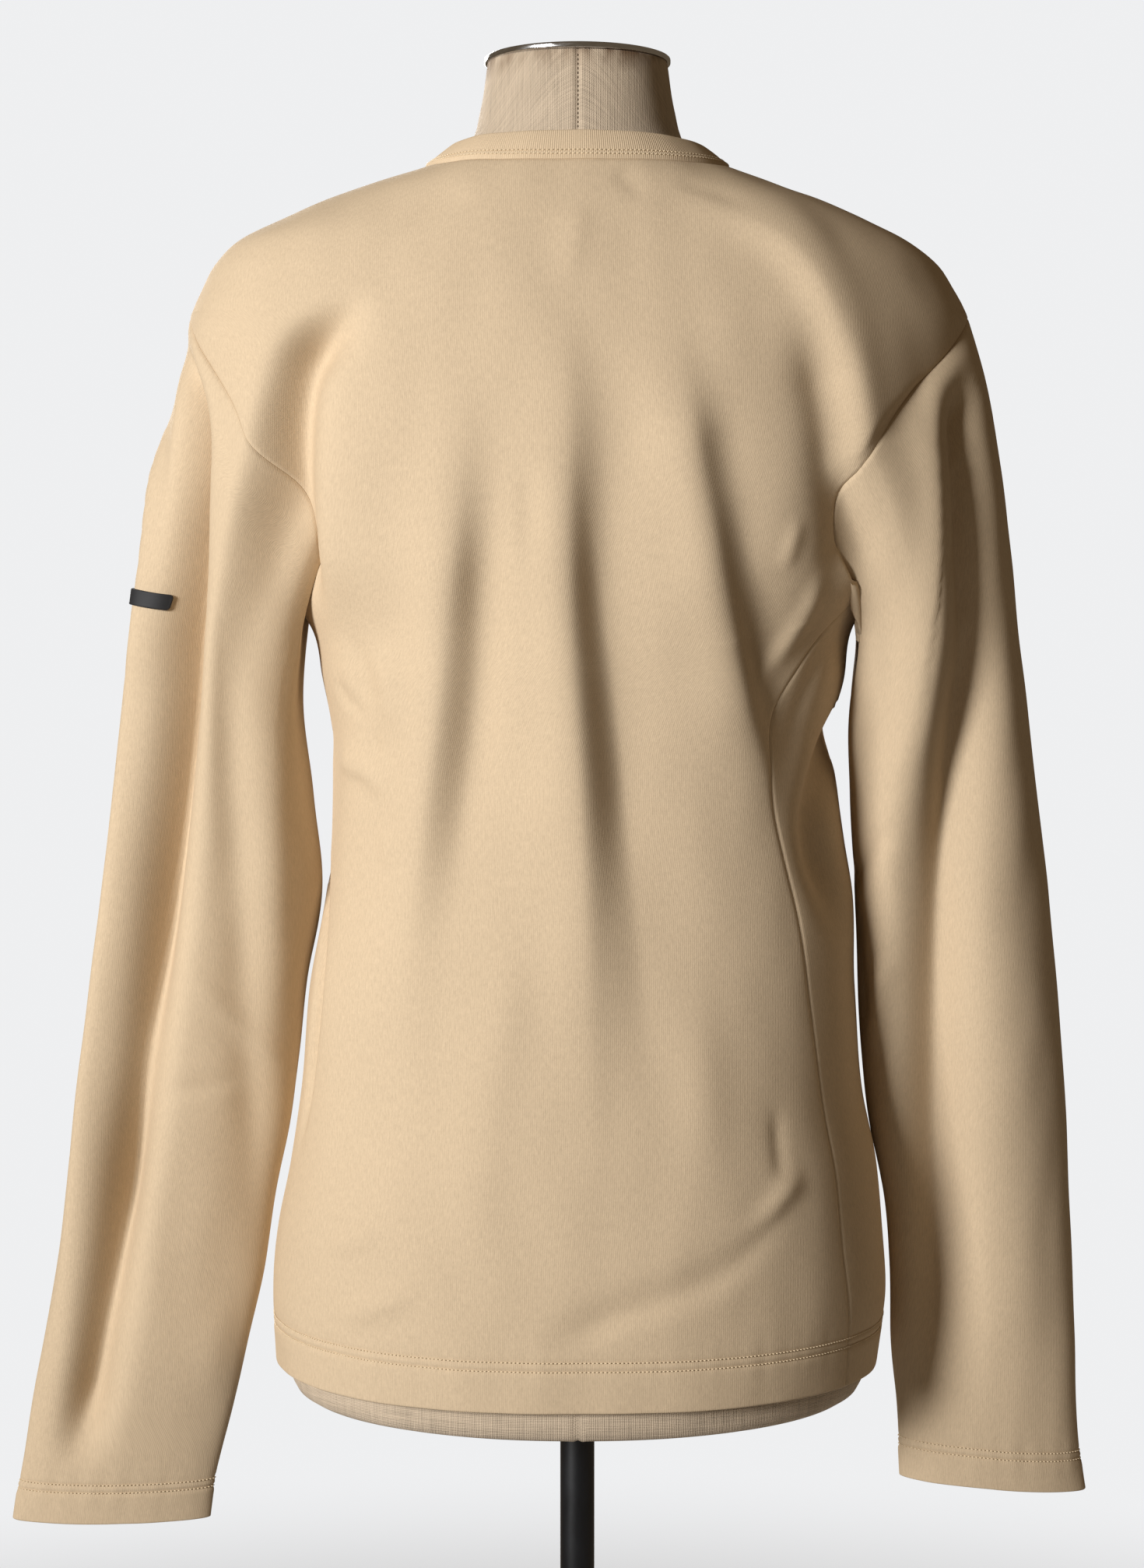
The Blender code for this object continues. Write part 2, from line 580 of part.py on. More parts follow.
def panel_wall(face, columns):
    """A panel, with its side and shoulder seams half a gap in from its neighbour's."""
    turn, height = panel_places(face, PANEL_ROWS, columns)
    wall = Wall(torso(turn, height), normals_of(torso, turn, height, math.radians(1.0), 0.002))
    for column, neighbour in ((0, 1), (-1, -2)):
        for span in (slice(0, SIDE_ROWS + 1), slice(SIDE_ROWS + ARMHOLE_ROWS, None)):
            edge = wall.points[span, column]
            inward = unit(np.cross(wall.normals[span, column], np.gradient(edge, axis=0)))
            inward *= np.sign(np.sum(inward * (wall.points[span, neighbour] - edge), axis=-1, keepdims=True))
            wall.shift[span, column] = inward * SEAM_GAP / 2
    return wall


def ring_course(ring):
    """The direction of a closed ring at each of its points."""
    return unit(np.roll(ring, -1, axis=0) - np.roll(ring, 1, axis=0))


def across_seam(mitre, ring, towards):
    """Unit steps across a closed seam, towards this side."""
    step = unit(np.cross(mitre, ring_course(ring)))
    return step * np.sign(np.sum(step * towards, axis=-1, keepdims=True))


def armhole_ring(side, back, front):
    """An armhole's values from the shoulder by the back, under the arm and up the front."""
    column = -1 if side > 0 else 0
    behind, ahead = back[ARMHOLE_SPAN, column], front[ARMHOLE_SPAN, column]
    return np.concatenate([behind[::-1], ahead[1:-1]])


def sleeve_wall(side, back, front):
    """A sleeve, mitred to the two panels along its armhole; it also mitres the panels."""
    ring = armhole_ring(side, back.points, front.points)
    folded = sleeve_shape(side, ring)[1]
    angle = np.linspace(0, 2 * math.pi, len(ring) + 1)[:-1]
    angles, downs = np.meshgrid(angle, np.linspace(0, 1, SLEEVE_ROWS + 1) ** SLEEVE_ROW_GROWTH)
    wall = Wall(folded(angles, downs), side * normals_of(folded, angles, downs, 0.03, 0.006))
    near_seam = side * normals_of(folded, angle, 0 * angle + 0.012, 0.03, 0.006)
    mitre = unit(armhole_ring(side, back.normals, front.normals) + near_seam)
    mitre = unit(np.roll(mitre, 1, axis=0) + mitre * 2 + np.roll(mitre, -1, axis=0))
    step = across_seam(mitre, ring, wall.points[1] - wall.points[0]) * SEAM_GAP / 2
    wall.normals[0] = mitre
    wall.shift[0] = step
    column = -1 if side > 0 else 0
    behind = np.arange(ARMHOLE_ROWS + 1)[::-1]
    ahead = np.append(np.arange(ARMHOLE_ROWS, len(ring)), 0)
    for panel, order in ((back, behind), (front, ahead)):
        corners = panel.shift[ARMHOLE_SPAN, column][[0, -1]].copy()
        panel.shift[ARMHOLE_SPAN, column] = -step[order]
        panel.shift[ARMHOLE_SPAN, column][[0, -1]] += corners
        panel.normals[ARMHOLE_SPAN, column] = mitre[order]
    return wall


def neckband_wall(back, front):
    """The neckband, mitred to the two panels along the neckline; it also mitres the panels."""
    def around(behind, ahead):
        return np.concatenate([behind[-1], ahead[-1, -2:0:-1]])

    ring = around(back.points, front.points)
    heading = np.arctan2(ring[:, 0], ring[:, 1])
    inward = -np.stack([np.sin(heading), np.cos(heading), 0 * heading], axis=-1)
    steepness = np.where(np.cos(heading) > 0, BAND_LEAN_BACK, BAND_LEAN_FRONT) - BAND_LEAN_SIDE
    lean = np.radians(BAND_LEAN_SIDE + steepness * np.abs(np.cos(heading)) ** 1.5)[:, None]
    rise = inward * np.cos(lean) + np.array([0, 0, 1]) * np.sin(lean)
    normals = unit(np.cross(rise, ring_course(ring)))
    normals *= np.sign(np.sum(normals * -inward, axis=-1, keepdims=True))
    mitre = unit(around(back.normals, front.normals) + normals)
    step = across_seam(mitre, ring, rise) * SEAM_GAP / 2
    columns = BACK_COLUMNS + 1
    ahead = np.concatenate([[0], np.arange(len(ring) - 1, columns - 1, -1), [columns - 1]])
    for panel, order in ((back, np.arange(columns)), (front, ahead)):
        panel.shift[-1] -= step[order]
        panel.normals[-1] = mitre[order]
    wall = Wall(np.stack([ring, ring + rise * BAND_WIDTH]), np.stack([mitre, normals]))
    wall.shift[0] = step
    return wall


def label_wall(back, front):
    """The tab, as the left sleeve's points moved out, narrower towards its rounded ends."""
    folded = sleeve_shape(1, armhole_ring(1, back.points, front.points))[1]

    def at_height(angle, height):
        top, bottom = folded(angle, 0 * angle)[..., 2], folded(angle, 0 * angle + 1)[..., 2]
        return (top - height) / (top - bottom)

    angles = np.linspace(-0.6, 1.1, RING_SAMPLES)
    course = folded(angles, at_height(angles, LABEL_HEIGHT))
    length = np.concatenate([[0], np.cumsum(np.linalg.norm(np.diff(course, axis=0), axis=-1))])
    length -= np.interp(0, angles, length) + LABEL_BACKWARDS
    along = LABEL_LENGTH / 2 * np.sin(np.linspace(-math.pi / 2, math.pi / 2, LABEL_COLUMNS + 1))
    end = np.maximum(np.abs(along) - (LABEL_LENGTH / 2 - LABEL_CORNER), 0)
    half = LABEL_WIDTH / 2 - LABEL_CORNER + np.sqrt(np.maximum(LABEL_CORNER ** 2 - end ** 2, 0))
    rows = np.linspace(-1, 1, LABEL_ROWS + 1)[:, None]
    angle, height = np.broadcast_arrays(
        np.interp(along, length, angles), LABEL_HEIGHT - LABEL_SLOPE * along + rows * half)
    down = at_height(angle, height)
    normals = normals_of(folded, angle, down, 0.03, 0.006)
    wall = Wall(folded(angle, down), normals)
    wall.shift = normals * (LABEL_CLEARANCE + LABEL_THICK)
    return wall


# ---------------------------------------------------------------- stand
def round_rings(profile, ahead=0.0):
    """Rings of points through a profile of (radius, height) corners."""
    turns = np.linspace(0, 2 * math.pi, ROUND_COLUMNS + 1)[:-1]
    return [np.stack([radius * np.sin(turns), radius * np.cos(turns) - ahead, height + 0 * turns], axis=-1)
            for radius, height in profile]


def form_rings():
    heights, half, behind, ahead = FORM.T[..., None]
    turns = np.linspace(0, 2 * math.pi, FORM_COLUMNS + 1)[:-1]
    x = half * signed_power(np.sin(turns), 2 / FORM_POWER)
    y = np.where(np.cos(turns) > 0, behind, ahead) * signed_power(np.cos(turns), 2 / FORM_POWER)
    return np.stack([x, y, heights + 0 * x], axis=-1)


def add_stand():
    bottom, top = FORM[0, 0], FORM[-1, 0]
    add_piece("dress_form", turned_mesh("dress_form", form_rings()), (0.6, 0.5, 0.38), 0.85)
    low, high, chamfer = top + SEAM_GAP, top + SEAM_GAP + CAP_THICK, CAP_THICK / 5
    plate = [(CAP_RADIUS - chamfer, low), (CAP_RADIUS, low + chamfer),
             (CAP_RADIUS, high - chamfer), (CAP_RADIUS - chamfer, high)]
    add_piece("neck_cap", turned_mesh("neck_cap", round_rings(plate, CAP_AHEAD)), (0.8, 0.8, 0.82), 0.1, 1.0)
    tube = [(POLE_RADIUS, HUB_TOP + SEAM_GAP), (POLE_RADIUS, bottom - SEAM_GAP)]
    add_piece("pole", turned_mesh("pole", round_rings(tube)), (0.01, 0.01, 0.012), 0.4)
    disc = [(BASE_RADIUS - EDGE_ROUND, 0), (BASE_RADIUS, EDGE_ROUND), (BASE_RADIUS, BASE_TOP - EDGE_ROUND),
            (BASE_RADIUS - EDGE_ROUND, BASE_TOP), (HUB_RADIUS + EDGE_ROUND, BASE_TOP),
            (HUB_RADIUS, BASE_TOP + EDGE_ROUND), (HUB_RADIUS, HUB_TOP - EDGE_ROUND),
            (HUB_RADIUS - EDGE_ROUND, HUB_TOP)]
    add_piece("base", turned_mesh("base", round_rings(disc)), (0.01, 0.01, 0.012), 0.4)


def main():
    for piece in list(bpy.data.objects):
        bpy.data.objects.remove(piece, do_unlink=True)
    back, front = panel_wall("back", BACK_COLUMNS), panel_wall("front", FRONT_COLUMNS)
    left, right = sleeve_wall(1, back, front), sleeve_wall(-1, back, front)
    band = neckband_wall(back, front)
    back.add("back_panel", CLOTH, False)
    front.add("front_panel", CLOTH, False)
    left.add("sleeve_left", CLOTH, True)
    right.add("sleeve_right", CLOTH, True)
    band.add("neckband", RIB_CLOTH, True)
    label_wall(back, front).add("sleeve_label", LABEL_THICK, False, (0.01, 0.01, 0.01))
    add_stand()


main()
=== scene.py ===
"""Dresses a long-sleeve crew-neck t-shirt on a limbless linen dress form, seen from the back.

Metres, +Z up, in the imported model's frame: the floor is at 0 under the pole, the garment's front
faces -Y and the wearer's left is +X. Each cloth piece is a thin shell on its solid's own sections,
with finer creases, turned-up hems, seams, stitches and a wale and weave in its finish.
"""

import functools
import math
from collections import namedtuple

import bpy
import numpy as np
from bpy.props import FloatProperty, FloatVectorProperty, PointerProperty
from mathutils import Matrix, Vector, noise


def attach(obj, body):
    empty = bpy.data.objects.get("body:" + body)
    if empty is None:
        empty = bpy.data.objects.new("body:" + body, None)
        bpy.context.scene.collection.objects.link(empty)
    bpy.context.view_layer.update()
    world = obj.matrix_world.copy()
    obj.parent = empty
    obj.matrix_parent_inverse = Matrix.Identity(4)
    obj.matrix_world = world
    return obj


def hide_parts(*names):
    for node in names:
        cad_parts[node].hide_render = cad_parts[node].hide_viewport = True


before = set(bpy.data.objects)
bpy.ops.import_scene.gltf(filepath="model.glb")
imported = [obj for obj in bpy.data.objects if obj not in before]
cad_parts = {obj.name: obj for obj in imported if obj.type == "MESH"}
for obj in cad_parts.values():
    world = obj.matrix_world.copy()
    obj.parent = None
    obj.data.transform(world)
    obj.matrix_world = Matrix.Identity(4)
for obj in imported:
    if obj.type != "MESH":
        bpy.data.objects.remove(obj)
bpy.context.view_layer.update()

bl_info = {
    "name": "Long-sleeve t-shirt on a dress form",
    "version": (1, 0, 0),
    "blender": (4, 5, 0),
    "location": "3D View > Sidebar > T-shirt",
    "description": "Cloth pieces, stitching, linen form, stand and studio for the packed t-shirt",
    "category": "Object",
}

# ---------------------------------------------------------------- sizes of the cut and the form
CLOTH = 0.0018           # wall of the jersey panels and sleeves
RIB_CLOTH = 0.0022       # wall of the doubled rib neckband
GAP = 0.0003             # between the form, the plate, the pole and the base
HEM = 0.720
UNDERARM = 1.129
SHOULDER = 1.295
NECK = 1.3726
NECK_HALF = 0.0838
BACK_NECK_DROP = 0.0034
FRONT_NECK_DROP = 0.083
BAND_WIDTH = 0.017
# The band's lean from level, in degrees, at the shoulders, the back and the front
BAND_LEAN_SIDE = 30
BAND_LEAN_BACK = 70
BAND_LEAN_FRONT = 60
BAND_LEAN_POWER = 1.5
BAND_FULLNESS = 0.0007

TAB_LENGTH = 0.050
TAB_WIDTH = 0.0085
TAB_CORNER = 0.0022
TAB_THICK = 0.0008
TAB_CLEARANCE = 0.0009
TAB_HEIGHT = 1.1405
TAB_SLOPE = 0.08
TAB_TURNS = (-0.6, 1.1)  # stretch of the sleeve's angle that it lies in
TAB_COLUMNS = 61
TAB_ROWS = 15
TAB_BACKWARDS = 0.0265   # from the sleeve's outermost line to the tab's middle

CAP_THICK = 0.0036
CAP_RADIUS = 0.0508
CAP_AHEAD = 0.0022       # the plate's middle lies this far in front of the pole's
POLE_RADIUS = 0.0096
BASE_RADIUS = 0.190
BASE_TOP = 0.012
HUB_TOP = 0.034
HUB_RADIUS = 0.022
AXIS = 0.001             # turned profiles start this close to their axis

# Torso sections: height, half-width to the wearer's left and right, depth to the back and front
TORSO = np.array([
    (0.690, 0.1650, 0.1630, 0.1270, 0.1160),
    (0.735, 0.1678, 0.1685, 0.1275, 0.1170),
    (0.757, 0.1690, 0.1715, 0.1275, 0.1175),
    (0.796, 0.1656, 0.1695, 0.1260, 0.1170),
    (0.832, 0.1584, 0.1655, 0.1220, 0.1150),
    (0.867, 0.1530, 0.1580, 0.1170, 0.1120),
    (0.928, 0.1478, 0.1532, 0.1080, 0.1090),
    (0.980, 0.1385, 0.1520, 0.1030, 0.1090),
    (1.006, 0.1361, 0.1475, 0.1025, 0.1100),
    (1.045, 0.1345, 0.1425, 0.1050, 0.1140),
    (1.071, 0.1353, 0.1405, 0.1080, 0.1170),
    (1.097, 0.1400, 0.1468, 0.1110, 0.1200),
    (1.123, 0.1453, 0.1510, 0.1140, 0.1230),
    (1.165, 0.1820, 0.1820, 0.1190, 0.1250),
    (1.205, 0.2010, 0.2010, 0.1190, 0.1210),
    (1.250, 0.2095, 0.2095, 0.1145, 0.1080),
    (1.295, 0.2105, 0.2117, 0.1040, 0.0880),
    (1.308, 0.2047, 0.2047, 0.1000, 0.0810),
    (1.321, 0.1980, 0.1957, 0.0955, 0.0740),
    (1.3334, 0.1855, 0.1794, 0.0910, 0.0665),
    (1.346, 0.1593, 0.1546, 0.0860, 0.0600),
    (1.3608, 0.1234, 0.1162, 0.0790, 0.0540),
    (1.3726, 0.0838, 0.0838, 0.0725, 0.0500),
])
SECTION_POWER = 2.3

# Side seams: height and turn in degrees from centre back; the right one is pulled to the back
LEFT_SEAM = np.array([(HEM, 97.0), (0.90, 96.0), (UNDERARM, 90.0)])
RIGHT_SEAM = np.array([
    (HEM, 57.0), (0.80, 54.0), (0.87, 54.0), (0.93, 51.0),
    (1.00, 45.0), (1.045, 42.0), (1.10, 48.0), (1.1403, 65.0),
])

# Armholes by side: where the side seam joins, in degrees from the shoulder, reach back and front
ARMHOLE = {1: (180.0, 0.0790, 0.0740), -1: (149.0, 0.0890, 0.0740)}
ARMHOLE_SKEW = 0.25

# Sleeve sections: height, inner and outer distance from the middle, depth to the back and front
SLEEVES = {
    1: np.array([
        (0.615, 0.2080, 0.3190, 0.0120, 0.0130),
        (0.650, 0.2030, 0.3131, 0.0140, 0.0160),
        (0.690, 0.1935, 0.3060, 0.0170, 0.0210),
        (0.730, 0.1840, 0.2985, 0.0200, 0.0260),
        (0.770, 0.1750, 0.2910, 0.0220, 0.0300),
        (0.810, 0.1685, 0.2854, 0.0245, 0.0335),
        (0.849, 0.1612, 0.2805, 0.0275, 0.0365),
        (0.889, 0.1560, 0.2753, 0.0305, 0.0390),
        (0.928, 0.1515, 0.2696, 0.0335, 0.0410),
        (0.980, 0.1432, 0.2613, 0.0370, 0.0440),
        (1.032, 0.1489, 0.2520, 0.0410, 0.0480),
        (1.084, 0.1580, 0.2446, 0.0460, 0.0530),
        (1.123, 0.1600, 0.2412, 0.0510, 0.0580),
        (1.161, 0.1615, 0.2344, 0.0580, 0.0640),
        (1.213, 0.1700, 0.2253, 0.0660, 0.0660),
        (1.264, 0.1880, 0.2175, 0.0540, 0.0520),
        (1.296, 0.2000, 0.2110, 0.0200, 0.0200),
    ]),
    -1: np.array([
        (0.615, 0.1830, 0.2900, 0.0125, 0.0150),
        (0.650, 0.1820, 0.2840, 0.0160, 0.0185),
        (0.690, 0.1800, 0.2802, 0.0195, 0.0235),
        (0.730, 0.1760, 0.2784, 0.0220, 0.0285),
        (0.770, 0.1755, 0.2771, 0.0240, 0.0325),
        (0.810, 0.1722, 0.2753, 0.0260, 0.0360),
        (0.849, 0.1640, 0.2736, 0.0280, 0.0390),
        (0.889, 0.1590, 0.2705, 0.0305, 0.0415),
        (0.928, 0.1570, 0.2672, 0.0325, 0.0435),
        (0.980, 0.1556, 0.2613, 0.0370, 0.0490),
        (1.032, 0.1532, 0.2546, 0.0420, 0.0555),
        (1.084, 0.1550, 0.2481, 0.0510, 0.0610),
        (1.123, 0.1638, 0.2425, 0.0620, 0.0635),
        (1.161, 0.1660, 0.2378, 0.0730, 0.0650),
        (1.213, 0.1720, 0.2309, 0.0780, 0.0660),
        (1.264, 0.1880, 0.2209, 0.0580, 0.0520),
        (1.296, 0.2000, 0.2120, 0.0200, 0.0200),
    ]),
}
SLEEVE_POWER = 1.75
SLEEVE_FOLDS_START = 0.06    # share of a sleeve over which its folds grow from the seam
# Cuffs by side: height and how much higher the inner edge is
CUFF = {1: (0.623, 0.001), -1: (0.640, 0.008)}
ARMHOLE_PULL = 6.0       # how fast a sleeve goes over from its armhole to its own sections

# Form sections: height, half-width, depth to the back and front
FORM_POWER = 2.15
STAIN_FROM = 1.418       # height from which the linen's neck is marked
FORM = np.array([
    (0.7000, 0.1440, 0.1080, 0.0980),
    (0.7025, 0.1530, 0.1150, 0.1050),
    (0.7080, 0.1585, 0.1190, 0.1090),
    (0.7180, 0.1610, 0.1210, 0.1105),
    (0.7400, 0.1620, 0.1215, 0.1110),
    (0.7700, 0.1610, 0.1210, 0.1110),
    (0.8000, 0.1570, 0.1200, 0.1105),
    (0.8320, 0.1500, 0.1140, 0.1085),
    (0.8670, 0.1440, 0.1070, 0.1050),
    (0.9280, 0.1350, 0.0960, 0.1010),
    (0.9800, 0.1260, 0.0910, 0.1005),
    (1.0060, 0.1230, 0.0900, 0.1010),
    (1.0450, 0.1210, 0.0915, 0.1035),
    (1.0710, 0.1225, 0.0940, 0.1065),
    (1.0970, 0.1270, 0.0970, 0.1100),
    (1.1230, 0.1330, 0.1000, 0.1125),
    (1.1650, 0.1440, 0.1035, 0.1140),
    (1.2050, 0.1540, 0.1035, 0.1090),
    (1.2500, 0.1640, 0.0990, 0.0960),
    (1.2850, 0.1750, 0.0950, 0.0830),
    (1.3050, 0.1745, 0.0905, 0.0740),
    (1.3200, 0.1720, 0.0875, 0.0685),
    (1.3300, 0.1685, 0.0850, 0.0640),
    (1.3395, 0.1610, 0.0820, 0.0595),
    (1.3477, 0.1440, 0.0785, 0.0555),
    (1.3555, 0.1235, 0.0745, 0.0525),
    (1.3620, 0.1030, 0.0705, 0.0500),
    (1.3675, 0.0820, 0.0660, 0.0480),
    (1.3770, 0.0665, 0.0600, 0.0465),
    (1.3870, 0.0585, 0.0560, 0.0460),
    (1.4050, 0.0530, 0.0520, 0.0480),
    (1.4305, 0.0490, 0.0470, 0.0510),
])

# The rings of the form's closed underside: share of its lowest section, and how far below it
FORM_UNDERSIDE = ((0.97, 0.0001), (0.9, 0), (0.5, 0), (0.07, 0))

# ---------------------------------------------------------------- folds and creases
# A fold is a ridge (rise > 0) or a trough (rise < 0) along a line on the cloth.
# line: points as (distance to the wearer's left, height) on the back or front face
# left, right: reach of its slopes to the two sides of the line, seen from outside
# fade_in, fade_out: share of the line over which each end dies away
Fold = namedtuple("Fold", "face line rise left right fade_in fade_out")
on_back = functools.partial(Fold, "back")
on_front = functools.partial(Fold, "front")

# The largest folds, which the solids have too
TORSO_FOLDS = [
    on_back([(0.011, 1.305), (0.006, 1.223), (0.005, 1.144), (0.002, 1.088), (-0.001, 1.027),
             (-0.004, 0.927), (-0.006, 0.790)], 0.0096, 0.026, 0.013, 0.3, 0.45),
    on_back([(0.000, 1.265), (-0.006, 1.191), (-0.013, 1.128), (-0.022, 1.068), (-0.029, 1.007),
             (-0.037, 0.926), (-0.044, 0.820)], -0.0064, 0.013, 0.03, 0.3, 0.45),
    on_back([(0.058, 1.275), (0.061, 1.191), (0.065, 1.144), (0.070, 1.088), (0.079, 1.026),
             (0.089, 0.965), (0.104, 0.870)], 0.0084, 0.022, 0.013, 0.3, 0.45),
    on_back([(0.055, 1.240), (0.051, 1.168), (0.051, 1.120), (0.055, 1.068), (0.061, 1.006),
             (0.070, 0.900)], -0.0062, 0.013, 0.028, 0.3, 0.45),
    on_back([(-0.044, 1.290), (-0.054, 1.239), (-0.061, 1.207), (-0.077, 1.128), (-0.085, 1.088),
             (-0.095, 1.046), (-0.108, 0.980)], 0.0072, 0.022, 0.0125, 0.3, 0.35),
    on_back([(-0.050, 1.354), (-0.088, 1.336), (-0.112, 1.319), (-0.129, 1.293), (-0.137, 1.256),
             (-0.142, 1.224), (-0.146, 1.190)], 0.008, 0.012, 0.028, 0.35, 0.12),
    on_back([(0.102, 1.290), (0.121, 1.284), (0.137, 1.273), (0.147, 1.258), (0.152, 1.235),
             (0.154, 1.205), (0.154, 1.175), (0.153, 1.135)], -0.022, 0.01, 0.0165, 0.35, 0.06),
    on_back([(-0.148, 1.095), (-0.136, 1.055), (-0.128, 1.022), (-0.134, 0.990), (-0.148, 0.950)],
            -0.011, 0.013, 0.016, 0.3, 0.35),
    on_front([(0.070, 1.230), (0.064, 1.120), (0.062, 1.000), (0.066, 0.860)],
             0.006, 0.026, 0.018, 0.35, 0.4),
    on_front([(-0.066, 1.240), (-0.070, 1.120), (-0.078, 1.000), (-0.084, 0.860)],
             0.006, 0.018, 0.026, 0.35, 0.4),
]
SLEEVE_FOLDS = {
    1: [
        on_back([(0.214, 1.292), (0.212, 1.255), (0.213, 1.210), (0.216, 1.156), (0.219, 1.115),
                 (0.222, 1.073), (0.227, 1.022), (0.234, 0.958), (0.241, 0.902), (0.251, 0.837),
                 (0.261, 0.775), (0.273, 0.710)], -0.03, 0.0102, 0.014, 0.1, 0.4),
        on_back([(0.168, 1.215), (0.167, 1.144), (0.169, 1.085), (0.168, 1.040), (0.167, 0.985),
                 (0.169, 0.914), (0.174, 0.850)], 0.0052, 0.014, 0.013, 0.25, 0.35),
        on_front([(0.200, 1.260), (0.206, 1.160), (0.212, 1.050), (0.224, 0.920), (0.240, 0.780)],
                 -0.0062, 0.014, 0.014, 0.25, 0.35),
    ],
    -1: [
        on_back([(-0.203, 1.280), (-0.206, 1.245), (-0.209, 1.209), (-0.213, 1.145), (-0.213, 1.115),
                 (-0.209, 1.083), (-0.202, 1.040), (-0.195, 0.974), (-0.194, 0.849), (-0.197, 0.738),
                 (-0.200, 0.670)], -0.018, 0.0125, 0.02, 0.1, 0.16),
        on_back([(-0.183, 1.285), (-0.184, 1.243), (-0.186, 1.209), (-0.187, 1.147), (-0.184, 1.082),
                 (-0.177, 1.040), (-0.170, 0.973), (-0.171, 0.848), (-0.176, 0.736)],
                0.0062, 0.014, 0.012, 0.2, 0.3),
        on_front([(-0.194, 1.260), (-0.200, 1.150), (-0.202, 1.040), (-0.210, 0.900), (-0.220, 0.770)],
                 -0.005, 0.016, 0.016, 0.25, 0.35),
    ],
}

